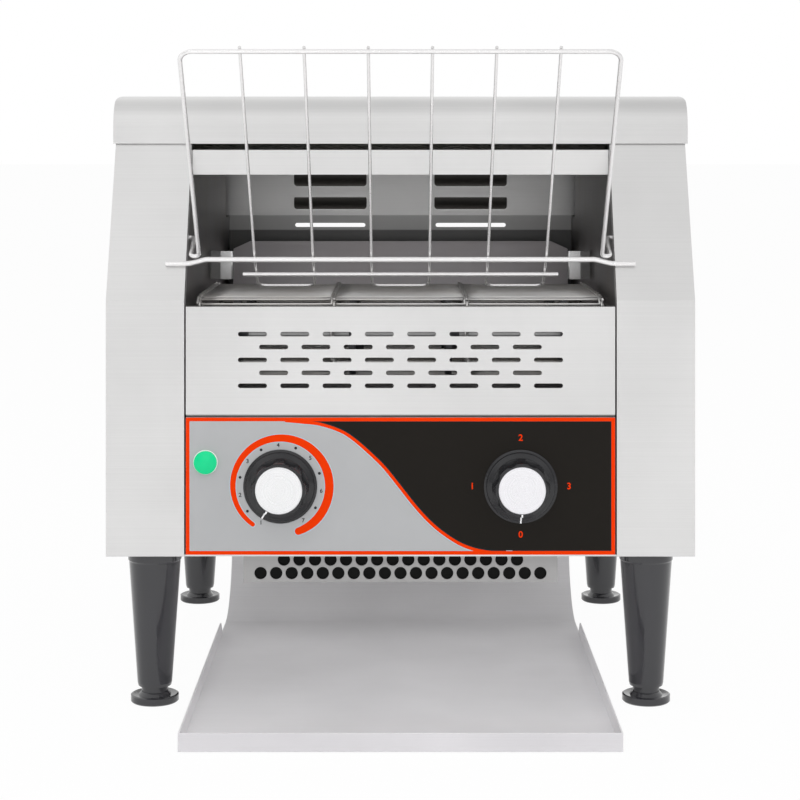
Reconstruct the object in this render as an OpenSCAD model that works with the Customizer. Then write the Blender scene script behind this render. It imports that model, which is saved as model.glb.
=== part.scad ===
// Conveyor toaster: a wire belt carries bread between two banks of heaters,
// and a curved chute brings it back out under the control panel.
// +Z is up, the front faces -Y, and the origin is the middle of the whole
// outline on the surface that the feet stand on.

/* [Casing] */
// Width across the two side panels
case_w = 368; // [350:1:400]
// Depth from the front panel to the rear panel
case_d = 345; // [335:1:380]
// Height of the underside above the table
case_z = 98; // [90:1:110]
// Height at which the front columns bend back
bend_z = 258; // [254:1:264]
// Height of the top cover's lower edge
eave_z = 356; // [352:1:362]
// How far the sloping face has gone back at the eave
slope_back = 44; // [38:1:48]
// Width of the opening between the front columns
mouth_w = 270; // [268:1:276]
// Thickness of the sheet metal
sheet = 1; // [0.8:0.1:1.2]
// Width of the folded flanges
flange_w = 14; // [10:1:18]
// Depth of the columns' inner return flanges
return_d = 10; // [8:1:11]
// How far the side panels reach up inside the cover
lap_h = 12; // [8:1:14]

/* [Top cover] */
// Height of the cover's flat top
top_z = 387; // [384:1:396]
// How far the cover stands proud of the casing
cover_proud = 1.5; // [1.4:0.1:2.5]
// Radius of the rounded front edge
cover_round = 20; // [10:1:20]
// Radius of the cover's long side edges
cover_side_r = 4; // [2:0.5:6]

/* [Front panels] */
// Height of the control panel
control_h = 85.7; // [84:0.1:90]
// Gap round the front panels
panel_gap = 1; // [0.5:0.1:1.5]
// Height of the slotted panel's top edge
slotted_top_z = 254; // [252:0.5:255]
// Depth of the panels' folded edges
fold_d = 9; // [6:1:10]
// Thickness of the printed overlay
overlay_t = 0.5; // [0.3:0.1:1]
// Length of an air slot
slot_l = 18.1; // [12:0.1:20]
// Height of an air slot
slot_h = 2.9; // [2:0.1:4]
// Distance between slots in a row
slot_pitch = 26.4; // [22:0.1:28]
// Distance between rows of slots
slot_row = 8.06; // [6:0.02:9]
// Slots in the long rows
slot_n = 8; // [4:1:9]
// Height of the lowest row of slots
slot_z = 204.7; // [200:0.1:210]

/* [Rear panel] */
// Length of a louvre
louvre_l = 60; // [40:1:66]
// How far a louvre stands out
louvre_out = 5; // [3:0.5:7]
// Height of a louvre
louvre_h = 13; // [8:0.5:14]
// Distance from the middle to a column of louvres
louvre_x = 56; // [50:1:70]
// Distance between rows of louvres
louvre_pitch = 18.4; // [17:0.1:20]
// Height of the lowest chamber louvre
louvre_z = 305; // [304:1:312]
// Height of the lowest louvre of the electrics bay
low_louvre_z = 124; // [120:1:135]
// Height of the open slits under the louvres
slit_z = 291; // [284:1:296]
// Height of an open slit
slit_h = 3.2; // [2:0.1:5]
// Length of an open slit
slit_l = 56; // [40:1:60]
// Depth of the open corners between the inner walls and the rear panel
corner_d = 30; // [20:1:40]
// Radius of the rear screws
rear_screw_r = 2; // [1.5:0.1:2.5]
// Distance from the rear panel's upper or lower edge to the nearest screw
rear_screw_in = 22; // [16:1:30]

/* [Hood and reflectors] */
// Height of the hood strip's lower edge
hood_z = 336; // [330:1:340]
// How far the hood strip leans inwards
hood_lean = 13; // [8:1:18]
// Height of the upper reflector's ceiling
ceiling_z = 358; // [354:1:362]
// Depth of the upper reflector
reflector_d = 134; // [120:1:140]

/* [Heaters] */
// Radius of a heater tube
tube_r = 5; // [4:0.5:5.5]
// Height of the upper heaters
upper_heater_z = 346; // [344:1:348]
// Distance between upper heaters
upper_heater_pitch = 36; // [30:1:40]
// Distance between lower heaters
lower_heater_pitch = 20; // [16:1:22]
// Radius of a ceramic end cap
cap_r = 7.5; // [7:0.5:8.5]
// Length of a ceramic end cap outside the wall
cap_l = 14; // [10:1:20]

/* [Belt] */
// Width of the wire belt
belt_w = 254; // [240:1:256]
// Height of the belt's upper wires
belt_z = 257.5; // [256:0.5:259]
// Distance between the belt's cross wires
belt_pitch = 6.8; // [6.6:0.05:7]
// Number of cross wires
belt_n = 58; // [56:2:60]
// Radius of the belt's wire
belt_wire_r = 0.8; // [0.7:0.05:0.9]
// Thickness of the belt's link plates
link_t = 0.8; // [0.7:0.1:1.2]
// Teeth on a belt sprocket
belt_teeth_n = 24; // [22:1:25]
// Distance from the front plane to the front shaft
front_shaft_b = 33; // [32:1:36]
// Radius of the shafts
shaft_r = 5; // [4:0.5:6]
// Thickness of a belt sprocket
sprocket_t = 4; // [3:0.5:6]
// Radius of the bronze bushes' bodies
bush_r = 8; // [7:0.5:10]

/* [Drive] */
// Chain pitch
chain_pitch = 9.525; // [9.4:0.005:9.7]
// Number of chain links
chain_n = 34; // [34:2:34]
// Teeth on a chain sprocket
teeth_n = 12; // [11:1:13]
// Distance from the inner wall to the middle of the chain
chain_out = 8; // [7:0.5:10]
// Distance from the front plane to the motor shaft
motor_b = 100; // [90:1:110]
// Radius of the gear motor
motor_r = 30; // [25:1:32]
// Length of the gear motor
motor_l = 28; // [24:1:34]
// Radius of the motor shaft
motor_shaft_r = 3.5; // [3:0.5:4.5]

/* [Controls] */
// Distance from the middle to each knob
knob_x = 75; // [70:1:80]
// Height of the knobs
knob_z = 142; // [138:1:146]
// Radius of a knob's skirt
knob_skirt_r = 23; // [18:0.5:24]
// How far a knob stands out
knob_h = 18; // [14:0.5:22]
// Radius of a knob's bright cap
knob_cap_r = 14.5; // [12:0.5:16]
// Radius of a knob spindle
spindle_r = 3; // [2.5:0.5:4]
// Scallops round a knob's grip
scallop_n = 8; // [6:1:10]
// Radius of the speed control's body
speed_r = 12; // [10:0.5:16]
// Length of the speed control's body
speed_l = 20; // [16:1:26]
// Radius of the selector switch's body
switch_r = 18; // [14:0.5:20]
// Length of the selector switch's body
switch_l = 32; // [20:1:38]
// Distance from the middle to the power lamp
lamp_x = 121.7; // [118:0.1:123]
// Height of the power lamp
lamp_z = 157; // [150:1:165]
// Radius of the power lamp's lens
lamp_r = 7.2; // [5:0.1:8]

/* [Bread rack] */
// Width between the rack's side wires
rack_w = 253; // [240:1:256]
// How far the rack's top bar leans out
rack_reach = 105; // [80:1:120]
// Height of the rack's top bar
rack_top_z = 408; // [395:1:420]
// Radius of the rack's frame wire
rack_wire_r = 1.35; // [1.2:0.05:1.5]
// Radius of the rack's rest bar
rest_bar_r = 1.7; // [1.4:0.1:1.9]
// Radius of the rack's slide wires
slide_wire_r = 0.95; // [0.8:0.05:1.1]
// Distance between slide wires
slide_pitch = 36.8; // [32:0.2:38]
// Height of the rest bar
rest_bar_z = 283; // [282:0.5:286]
// How far each end of the rest bar laps the column
rest_lap = 12.5; // [8:0.5:16]
// Height of the rack's hinge axis
rack_axis_z = 296; // [294:1:299]
// How far the hinge axis lies behind the sloping face
rack_axis_in = 13; // [12:0.5:15]
// Height of the slide wires' lower ends
slide_end_z = 264.5; // [264:0.5:269]
// Distance from the front plane to the slide wires' ends
slide_end_b = 44; // [42:1:48]

/* [Chute] */
// Width of the chute
chute_w = 260; // [240:1:262]
// How far the chute's lip lies in front of the casing
chute_reach = 81; // [60:1:95]
// Height of the lip and the side rims
rim_h = 11.6; // [8:0.2:14]
// Inside radius of the chute's curve
chute_r = 60; // [50:1:62]
// Distance from the front plane to the chute's upright back
chute_back_b = 296; // [290:1:300]
// Distance from the front plane to the rear end of the rims
rim_end_b = 190; // [160:1:215]
// Height of the chute's rear edge
chute_top_z = 71.7; // [68:0.1:73]
// Height of the chute above the table
chute_lift = 0.5; // [0.3:0.1:1]
// Height of the deflector's top edge
deflector_top_z = 281.5; // [270:0.5:284]
// How far the deflector leans back
deflector_lean = 9; // [4:1:12]

/* [Guard] */
// Width of the perforated guard
guard_w = 202; // [190:1:210]
// Height of the guard's lower edge
guard_z = 74; // [73.5:0.5:78]
// Distance from the front plane to the guard
guard_b = 38; // [30:1:50]
// Radius of a guard hole
guard_hole_r = 4; // [3:0.1:4.2]
// Distance between guard holes
guard_pitch = 10; // [9:0.1:10.1]

/* [Legs and feet] */
// How far a leg stands inwards from the middle of its side bay
leg_in_x = 3.65; // [0:0.05:5]
// Distance from the front or rear plane to a leg's middle
leg_in_b = 30; // [26:1:36]
// Radius of a leg at its top
leg_top_r = 17; // [15:0.5:19]
// Radius of a leg at its lower end
leg_low_r = 11; // [10:0.5:12]
// Height of a leg's lower end
leg_low_z = 12.5; // [11:0.5:14]
// Radius of a foot's stem
stem_r = 8.5; // [6:0.5:8.5]
// Length of a foot's stem
stem_l = 34; // [30:1:40]
// Radius of a foot's disc
foot_r = 15.25; // [12:0.25:18]
// Thickness of a foot's disc
foot_t = 5; // [4:0.5:6]
// Radius of the screws that hold the legs
leg_screw_r = 3; // [2.5:0.5:4]

/* [Fan] */
// Width of the cooling fan
fan_w = 80; // [70:1:84]
// Thickness of the cooling fan
fan_t = 25; // [20:1:32]
// Number of blades
blade_n = 7; // [5:1:9]

/* [Cable gland] */
// How far the gland stands out of the rear panel
gland_out = 12; // [8:0.5:16]
// Radius of the gland's bore
gland_bore_r = 4; // [3:0.5:5]
// Height of the gland above the underside
gland_up = 52; // [48:1:60]
// Width of the terminal block
terminal_w = 18; // [16:1:20]
// Length of the terminal block
terminal_l = 30; // [24:1:34]
// Height of the terminal block
terminal_h = 17; // [12:1:22]

/* [Fits] */
// Gap where one piece is seated on another
seat = 0.3; // [0.2:0.05:0.4]
// Radial clearance of a running fit
slip = 0.05; // [0.03:0.01:0.1]

/* [Hidden] */
$fn = 48;

// Places across the width
case_x = case_w / 2;
mouth_x = mouth_w / 2;
return_x = mouth_x + sheet;
wall_x = return_x + seat;
wall_out_x = wall_x + sheet;
bay_x = case_x - sheet - seat;
panel_x = mouth_x - panel_gap;
bay_mid_x = (wall_out_x + case_x) / 2;
leg_x = bay_mid_x - leg_in_x;

// Places in depth, measured back from the front plane
rear_b = case_d + gland_out;
front_y = -(rear_b - rack_reach - rack_wire_r) / 2;
side_rear_b = case_d - sheet - seat;
base_rear_b = side_rear_b - sheet - seat;
wall_rear_b = base_rear_b - sheet - seat;
leg_front_b = leg_in_b;
leg_rear_b = case_d - leg_in_b;

// The sloping face
slope = atan(slope_back / (eave_z - bend_z));
lap_z = eave_z + lap_h;
function face_b(z) = max(0, (z - bend_z) * tan(slope));
slant_t = sheet / cos(slope);
slant_seat = seat / cos(slope);

// Heights of the front panels and the shelf between them
base_top_z = case_z + sheet;
control_z = base_top_z + seat;
control_top_z = control_z + control_h;
shelf_z = control_top_z + seat;
slotted_z = shelf_z + sheet + seat;
shelf_back_b = 185;
drop_rear_b = chute_back_b + sheet + seat;

// The belt's path
belt_r = belt_teeth_n * belt_pitch / (2 * PI);
shaft_z = belt_z - belt_r;
shaft_gap = (belt_n * belt_pitch - 2 * PI * belt_r) / 2;
rear_shaft_b = front_shaft_b + shaft_gap;
lane_x = belt_w / 6;
link_r = 2 * belt_wire_r + 0.1;
link_xs = [-belt_w / 2 + 1, -lane_x - link_t, lane_x - link_t, belt_w / 2 - 2 * link_t - 1.4];
tip_r = belt_r - belt_wire_r - 3 * slip;
gullet_r = belt_wire_r + 0.8;
sprocket_xs = [-belt_w * 0.41, -belt_w * 0.12, belt_w * 0.12, belt_w * 0.41];

// The drive
chain_r = teeth_n * chain_pitch / (2 * PI);
chain_x = wall_out_x + chain_out;
chain_gap = (chain_n * chain_pitch - 2 * PI * chain_r) / 2;
motor_rise = sqrt(pow(chain_gap, 2) - pow(rear_shaft_b - motor_b, 2));
motor_z = shaft_z - motor_rise;
roller_r = 2.5;
roller_w = 4.6;
plate_t = 0.9;
plate_r = 3.6;
pin_r = 1.2;
chain_tip_r = chain_r - roller_r - 0.4;

// The rack, in depth and height
rack_axis_b = face_b(rack_axis_z) + rack_axis_in;
rest_pin_z = rest_bar_z - 2.5;
rest_pin_b = face_b(rest_pin_z) - (rest_bar_r + seat) / cos(slope);
rest_bar_b = rest_pin_b + 1.5;
rack_dir = [-rack_reach - rest_bar_b, rack_top_z - rest_bar_z];
rack_up = rack_dir / norm(rack_dir);
rack_side = [rack_up.y, -rack_up.x];
weld = 0.02;
bend_lap = 0.05;
bend_swell = 0.012;
tail_dir = [slide_end_b - rest_bar_b, slide_end_z - rest_bar_z];

// Solids shared by several pieces
function unit(v) = v / norm(v);
function side_of(d) = unit(abs(d.z) < 0.9 ? cross([0, 0, 1], d) : cross([1, 0, 0], d));
function left_of(a, b) = let (d = unit(b - a)) [-d.y, d.x];
function mitre(p, i, t) =
    let (last = len(p) - 1,
         n1 = i > 0 ? left_of(p[i - 1], p[i]) : left_of(p[0], p[1]),
         n2 = i < last ? left_of(p[i], p[i + 1]) : n1,
         m = unit(n1 + n2))
    p[i] + m * t / (m * n1);
// Outline of a folded sheet that follows path p, with its thickness on the left
function fold(p, t) = concat(p, [for (i = [len(p) - 1:-1:0]) mitre(p, i, t)]);

// Places children measured back from the casing's front plane
module from_front() {
    translate([0, front_y, 0]) children();
}

// Extrudes an outline in depth and height across the width
module across(x0, x1) {
    translate([x0, 0, 0]) rotate([90, 0, 90]) linear_extrude(x1 - x0) children();
}

// Extrudes an outline in width and height from depth b0 to b1
module through(b0, b1) {
    translate([0, b1, 0]) rotate([90, 0, 0]) linear_extrude(b1 - b0) children();
}

module block(x0, x1, b0, b1, z0, z1) {
    translate([x0, b0, z0]) cube([x1 - x0, b1 - b0, z1 - z0]);
}

module frame_at(a, x, y, z) {
    multmatrix([[x.x, y.x, z.x, a.x], [x.y, y.y, z.y, a.y], [x.z, y.z, z.z, a.z], [0, 0, 0, 1]])
        children();
}

module rod(a, b, r) {
    d = unit(b - a);
    x = side_of(d);
    frame_at(a, x, cross(d, x), d) cylinder(r = r, h = norm(b - a), $fn = 24);
}

// A round wire along points p, bent at each inner point to the radius in bends;
// the bends are a hair thicker, so that each one laps the ends of its rods
module wire(p, r, bends) {
    last = len(p) - 1;
    u = [for (i = [0:last - 1]) unit(p[i + 1] - p[i])];
    turn = [for (i = [0:last]) i == 0 || i == last ? 0 : acos(u[i - 1] * u[i])];
    cut = [for (i = [0:last]) i == 0 || i == last ? 0 : bends[i - 1] * tan(turn[i] / 2)];
    lap = [for (c = cut) c > 0 ? c - bend_lap : 0];
    for (i = [0:last - 1]) rod(p[i] + lap[i] * u[i], p[i + 1] - lap[i + 1] * u[i], r);
    for (i = [1:last - 1]) {
        w = unit(u[i] - (u[i] * u[i - 1]) * u[i - 1]);
        centre = p[i] - cut[i] * u[i - 1] + bends[i - 1] * w;
        frame_at(centre, -w, u[i - 1], cross(u[i - 1], w))
            rotate_extrude(angle = turn[i], $fn = 32)
                translate([bends[i - 1], 0]) circle(r + bend_swell, $fn = 24);
    }
}

// A cylinder across the width between x0 and x1
module bar(x0, x1, b, z, r) {
    translate([x0, b, z]) rotate([0, 90, 0]) cylinder(r = r, h = x1 - x0);
}

// Children stand out of the front at x and z
module on_front(x, z) {
    translate([x, 0, z]) rotate([90, 0, 0]) children();
}

// Casing
module side_outline(inset) {
    bend_in = bend_z - inset * tan(slope / 2);
    slant_in = inset / cos(slope);
    top = lap_z - inset;
    polygon([
        [inset, inset == 0 ? case_z : case_z - 1],
        [inset, bend_in],
        [face_b(top) + slant_in, top],
        [side_rear_b - inset, top],
        [side_rear_b - inset, inset == 0 ? case_z : case_z - 1]
    ]);
}

module side_panel() {
    color("silver") difference() {
        across(mouth_x, case_x) side_outline(0);
        across(return_x, case_x - sheet) side_outline(sheet);
        across(mouth_x - 1, return_x + 1) polygon([
            [return_d, case_z - 1],
            [return_d, bend_z],
            [face_b(lap_z - sheet) + return_d, lap_z - sheet],
            [side_rear_b + 1, lap_z - sheet],
            [side_rear_b + 1, case_z - 1]
        ]);
        block(mouth_x - 1, case_x - flange_w, face_b(lap_z) + flange_w, case_d, lap_z - 2 * sheet, lap_z + 1);
        block(mouth_x - 1, case_x - flange_w, side_rear_b - 2 * sheet, case_d, case_z - 1, lap_z + 1);
        block(mouth_x - 1, return_x + seat, sheet, return_d + 1, case_z - 1, base_top_z + seat);
        for (z = rear_screw_zs) rear_hole(rear_screw_x, z, rear_screw_r + slip);
        rear_hole(-gland_x, gland_z, gland_nut_r + seat);
    }
}

// A hole of radius r through whatever stands at the rear panel
module rear_hole(x, z, r) {
    translate([x, case_d + 1, z]) rotate([90, 0, 0]) cylinder(r = r, h = sheet + seat + 2 * sheet + 2);
}

module side_panel_right() {
    from_front() side_panel();
}

module side_panel_left() {
    mirror([1, 0, 0]) from_front() side_panel();
}

module base_plate() {
    lip = flange_w;
    front = sheet + seat;
    color("lightgray") from_front() difference() {
        block(-bay_x, bay_x, front, base_rear_b, case_z, case_z + lip);
        block(-bay_x + sheet, bay_x - sheet, front + sheet, base_rear_b - sheet, base_top_z, case_z + lip + 1);
        block(-wall_out_x - seat, wall_out_x + seat, front - 1, front + 2 * sheet, base_top_z, case_z + lip + 1);
        block(-chute_w / 2 - 1, chute_w / 2 + 1, shelf_back_b + 2 * sheet, drop_rear_b, case_z - 1, base_top_z + 1);
        for (x = [-leg_x, leg_x], b = [leg_front_b, leg_rear_b])
            translate([x, b, case_z - 1]) cylinder(r = leg_screw_r + slip, h = sheet + 2);
        fan_grille();
    }
}

// Ring of slots in the base plate under the fan
module fan_grille() {
    for (i = [-3:3]) {
        reach = sqrt(pow(fan_w / 2 - 6, 2) - pow(i * 9, 2));
        block(fan_x - reach, fan_x + reach, fan_b + i * 9 - 2, fan_b + i * 9 + 2, case_z - 1, base_top_z + 1);
    }
}

// The cover's outline in depth and height, drawn in by inset
module cover_outline(inset) {
    b0 = face_b(eave_z) - cover_proud + inset;
    b1 = case_d + cover_proud - inset;
    z1 = top_z - inset;
    r = cover_round - inset;
    low = inset == 0 ? eave_z : eave_z - 1;
    translate([b0, low]) square([b1 - b0, z1 - r - low]);
    translate([b0 + r, low]) square([b1 - b0 - r, z1 - low]);
    translate([b0 + r, z1 - r]) intersection() {
        circle(r);
        translate([-r, 0]) square([2 * r, r]);
    }
}

// The cover's outline from the front, drawn in by inset
module cover_arch(inset) {
    x = case_x + cover_proud - inset;
    r = cover_side_r - inset;
    z1 = top_z - inset;
    low = eave_z - 2;
    translate([-x, low]) square([2 * x, z1 - r - low]);
    translate([-x + r, low]) square([2 * (x - r), z1 - low]);
    for (s = [-1, 1]) translate([s * (x - r), z1 - r]) circle(r);
}

module cover_form(inset) {
    x = case_x + cover_proud - inset;
    intersection() {
        across(-x, x) cover_outline(inset);
        through(-50, case_d + 50) cover_arch(inset);
    }
}

module top_cover() {
    color("silver") from_front() difference() {
        cover_form(0);
        cover_form(sheet);
    }
}

// A pressed hood on the rear panel, open along its lower edge
module louvre(x, z) {
    translate([x - louvre_l / 2, case_d - sheet, z]) intersection() {
        cube([louvre_l, louvre_out + sheet, louvre_h]);
        scale_r = louvre_h;
        rotate([0, 90, 0]) difference() {
            translate([0, louvre_out + sheet - scale_r, 0]) cylinder(r = scale_r, h = louvre_l);
            translate([0, louvre_out + sheet - scale_r, sheet])
                cylinder(r = scale_r - sheet, h = louvre_l - 2 * sheet);
        }
    }
}

// An upright opening through the rear panel, centred at x, with its lower edge at z
module rear_window(x, z, w, h, r) {
    translate([x, 0, z + h / 2]) through(case_d - sheet - 1, case_d + 1) {
        square([w - 2 * r, h], center = true);
        if (h > 2 * r) square([w, h - 2 * r], center = true);
        for (i = [-1, 1], j = [-1, 1]) translate([i * (w / 2 - r), j * (h / 2 - r)]) circle(r, $fn = 24);
    }
}

louvre_zs = concat([for (i = [0:2]) low_louvre_z + i * louvre_pitch],
                   [for (i = [0:1]) louvre_z + i * louvre_pitch]);
louvre_places = [for (x = [-louvre_x, louvre_x], z = louvre_zs) [x, z]];
gland_x = -bay_mid_x;
gland_z = case_z + gland_up;
gland_nut_r = 2.2 * gland_bore_r;
rear_screw_zs = [case_z + rear_screw_in, (case_z + eave_z) / 2, eave_z - rear_screw_in];
rear_screw_x = bay_x - flange_w / 2;
rear_screw_places = [for (x = [-rear_screw_x, rear_screw_x], z = rear_screw_zs) [x, z]];

module rear_panel() {
    color("lightgray") from_front() {
        difference() {
            block(-case_x, case_x, case_d - sheet, case_d, case_z, lap_z - sheet);
            for (p = louvre_places) rear_window(p.x, p.y, louvre_l - 2 * sheet, louvre_h - 2 * sheet, 3);
            for (x = [-louvre_x, louvre_x]) rear_window(x, slit_z, slit_l, slit_h, slit_h / 2);
            rear_hole(gland_x, gland_z, gland_bore_r + 4);
            for (p = rear_screw_places) rear_hole(p.x, p.y, rear_screw_r + slip);
        }
        for (p = louvre_places) louvre(p.x, p.y);
    }
}

module rear_screws() {
    color("gainsboro") from_front() for (p = rear_screw_places)
        translate([p.x, case_d + seat / 3, p.y]) rotate([-90, 0, 0]) {
            intersection() {
                cylinder(r = 2 * rear_screw_r, h = rear_screw_r);
                translate([0, 0, -2.5 * rear_screw_r]) sphere(r = 3.5 * rear_screw_r);
            }
            translate([0, 0, -2 * sheet - seat - 4]) cylinder(r = rear_screw_r, h = 2 * sheet + seat + 4.5);
        }
}

// Front panels
module folded_panel(z0, z1) {
    difference() {
        block(-panel_x, panel_x, 0, fold_d, z0, z1);
        block(-panel_x + sheet, panel_x - sheet, sheet, fold_d + 1, z0 + sheet, z1 - sheet);
    }
}

module slotted_panel() {
    color("silver") from_front() difference() {
        folded_panel(slotted_z, slotted_top_z);
        for (row = [0:4]) {
            n = slot_n - row % 2;
            for (i = [0:n - 1])
                slot_at((i - (n - 1) / 2) * slot_pitch, slot_z + row * slot_row);
        }
    }
}

module slot_at(x, z) {
    r = slot_h / 2;
    reach = slot_l / 2 - r;
    translate([0, 0, z]) through(-1, sheet + 1) translate([x, 0]) {
        square([2 * reach, slot_h], center = true);
        for (s = [-1, 1]) translate([s * reach, 0]) circle(r, $fn = 16);
    }
}

module panel_holes() {
    for (x = [-knob_x, knob_x]) on_front(x, knob_z) translate([0, 0, -5]) cylinder(r = spindle_r + 1, h = 10);
    on_front(-lamp_x, lamp_z) translate([0, 0, -5]) cylinder(r = lamp_r - 1, h = 10);
}

module control_panel() {
    color("silver") from_front() difference() {
        folded_panel(control_z, control_top_z);
        panel_holes();
    }
}

module control_overlay() {
    color("dimgray") from_front() difference() {
        block(-panel_x, panel_x, -overlay_t, 0, control_z, control_top_z);
        panel_holes();
    }
}

// Walls, hood and shelf of the toasting chamber
corner_z = louvre_z - 5;
module inner_wall(side) {
    color("darkgray") from_front() difference() {
        across(side > 0 ? wall_x : -wall_out_x, side > 0 ? wall_out_x : -wall_x) polygon([
            [sheet + seat, base_top_z + seat],
            [sheet + seat, bend_z - sheet],
            [face_b(ceiling_z) + slant_t + slant_seat, ceiling_z],
            [wall_rear_b, ceiling_z],
            [wall_rear_b, base_top_z + seat]
        ]);
        for (b = [front_shaft_b, rear_shaft_b])
            bar(-case_x, case_x, b, shaft_z, bush_r + slip);
        for (b = upper_heater_bs) bar(-case_x, case_x, b, upper_heater_z, cap_r + slip);
        for (b = lower_heater_bs) bar(-case_x, case_x, b, shaft_z, cap_r + slip);
        bar(-case_x, case_x, rack_axis_b, rack_axis_z, rack_wire_r + 2 * slip);
        if (side > 0) bar(0, case_x, motor_b, motor_z, motor_shaft_r + 1);
        block(-case_x, case_x, wall_rear_b - corner_d, wall_rear_b + 1, corner_z, corner_z + 2 * louvre_pitch);
    }
}

module inner_wall_right() {
    inner_wall(1);
}

module inner_wall_left() {
    inner_wall(-1);
}

hood_top_b = face_b(eave_z) + 2;
hood_top_z = eave_z - 4;
module hood_strip() {
    x = mouth_x - seat;
    color("silver") from_front() across(-x, x) polygon(fold([
        [hood_top_b + fold_d, hood_top_z],
        [hood_top_b, hood_top_z],
        [hood_top_b + hood_lean, hood_z],
        [hood_top_b + hood_lean + fold_d / 2, hood_z]
    ], sheet));
}

reflector_b = hood_top_b + hood_lean + fold_d / 2 + 1;
upper_heater_mid_b = reflector_b + reflector_d / 2;
upper_heater_bs = [for (i = [-1:1]) upper_heater_mid_b + i * upper_heater_pitch];
module upper_reflector() {
    x = wall_x - seat;
    rise = ceiling_z - hood_z - 2;
    color("gainsboro") from_front() across(-x, x) polygon(fold([
        [reflector_b, hood_z + 1],
        [reflector_b + rise / 3, hood_z + 1 + rise],
        [reflector_b + reflector_d - rise / 3, hood_z + 1 + rise],
        [reflector_b + reflector_d, hood_z + 1]
    ], -sheet));
}

belt_mid_b = (front_shaft_b + rear_shaft_b) / 2;
lower_heater_bs = [for (i = [-1:1]) belt_mid_b + i * lower_heater_pitch];
module lower_reflector() {
    x = wall_x - seat;
    z = shaft_z - belt_r + link_r + 2.5;
    half = lower_heater_pitch + tube_r + 4;
    color("gainsboro") from_front() across(-x, x) polygon(fold([
        [belt_mid_b + half, z + 6],
        [belt_mid_b + half - 4, z],
        [belt_mid_b - half + 4, z],
        [belt_mid_b - half, z + 6]
    ], -sheet));
}

module heater_tubes(bs, z) {
    reach = wall_out_x + cap_l - 4;
    for (b = bs) bar(-reach, reach, b, z, tube_r);
}

module heater_caps(bs, z) {
    for (b = bs, s = [-1, 1]) translate([s * (wall_x - 3), b, z]) rotate([0, s * 90, 0]) difference() {
        union() {
            cylinder(r = cap_r, h = sheet + 3 + seat);
            translate([0, 0, sheet + 3 + seat]) cylinder(r = cap_r + 1.5, h = cap_l - 4);
            translate([0, 0, sheet + cap_l - 1 + seat]) cylinder(r = cap_r - 2, h = 4);
        }
        translate([0, 0, -1]) cylinder(r = tube_r + slip, h = cap_l + 1 + sheet);
    }
}

module upper_heaters() {
    color("mistyrose") from_front() heater_tubes(upper_heater_bs, upper_heater_z);
}

module upper_heater_caps() {
    color("ivory") from_front() heater_caps(upper_heater_bs, upper_heater_z);
}

module lower_heaters() {
    color("mistyrose") from_front() heater_tubes(lower_heater_bs, shaft_z);
}

module lower_heater_caps() {
    color("ivory") from_front() heater_caps(lower_heater_bs, shaft_z);
}

// Shelf over the electrics, folded down behind them
module electrics_shelf() {
    x = wall_x - seat;
    color("darkgray") from_front() across(-x, x) polygon(fold([
        [return_d + seat, shelf_z],
        [shelf_back_b, shelf_z],
        [shelf_back_b, base_top_z + seat]
    ], sheet));
    color("darkgray") from_front()
        block(-panel_x, panel_x, sheet + seat, return_d + sheet, shelf_z, shelf_z + sheet);
}

// A loop of radius r round two shafts: place, direction and outward normal at distance s
function loop_len(gap, r) = 2 * gap + 2 * PI * r;
function loop_at(s0, gap, r) =
    let (s = s0 - loop_len(gap, r) * floor(s0 / loop_len(gap, r)), half = PI * r)
    s < gap ? [[s, r], [1, 0], [0, 1]] :
    s < gap + half ? let (a = 90 - (s - gap) / r * 180 / PI)
        [[gap + r * cos(a), r * sin(a)], [sin(a), -cos(a)], [cos(a), sin(a)]] :
    s < 2 * gap + half ? [[gap - (s - gap - half), -r], [-1, 0], [0, -1]] :
    let (a = -90 - (s - 2 * gap - half) / r * 180 / PI)
        [[r * cos(a), r * sin(a)], [sin(a), -cos(a)], [cos(a), sin(a)]];

// Link plate of the belt, round its own wire and with an eye round the next one
module belt_link(gap) {
    linear_extrude(link_t) difference() {
        union() {
            circle(link_r, $fn = 24);
            translate([gap, 0]) circle(link_r, $fn = 24);
            translate([0, -link_r * 0.7]) square([gap, link_r * 1.4]);
        }
        translate([gap, 0]) circle(belt_wire_r + 2 * slip, $fn = 24);
    }
}

// One cross wire of the belt with the links that lead to the next one
module belt_strand(i) {
    a = loop_at(i * belt_pitch, shaft_gap, belt_r)[0];
    c = loop_at((i + 1) * belt_pitch, shaft_gap, belt_r)[0];
    edge = belt_w / 2;
    bar(-edge, edge, a.x, a.y, belt_wire_r);
    for (x = link_xs) translate([x + (i % 2) * (link_t + 0.4), a.x, a.y])
        rotate([atan2(c.y - a.y, c.x - a.x), 0, 0]) rotate([90, 0, 90]) belt_link(norm(c - a));
}

module wire_belt() {
    color("silver") from_front() translate([0, front_shaft_b, shaft_z])
        for (i = [0:belt_n - 1]) belt_strand(i);
}

bush_flange = 2;
module shaft_bushes() {
    color("goldenrod") from_front()
        for (b = [front_shaft_b, rear_shaft_b], s = [-1, 1])
            translate([s * (wall_x - 2), b, shaft_z]) rotate([0, s * 90, 0]) difference() {
                union() {
                    cylinder(r = bush_r, h = 2 + sheet + seat);
                    translate([0, 0, 2 + sheet + seat / 2]) cylinder(r = bush_r + 3, h = bush_flange);
                }
                translate([0, 0, -1]) cylinder(r = shaft_r + slip, h = 10);
            }
}

bush_end_x = wall_out_x + seat / 2 + bush_flange;
module front_shaft() {
    color("gray") from_front() bar(-bush_end_x - 2, bush_end_x + 2, front_shaft_b, shaft_z, shaft_r);
}

module rear_shaft() {
    color("gray") from_front() bar(-bush_end_x - 2, chain_x + 6, rear_shaft_b, shaft_z, shaft_r);
}

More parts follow.
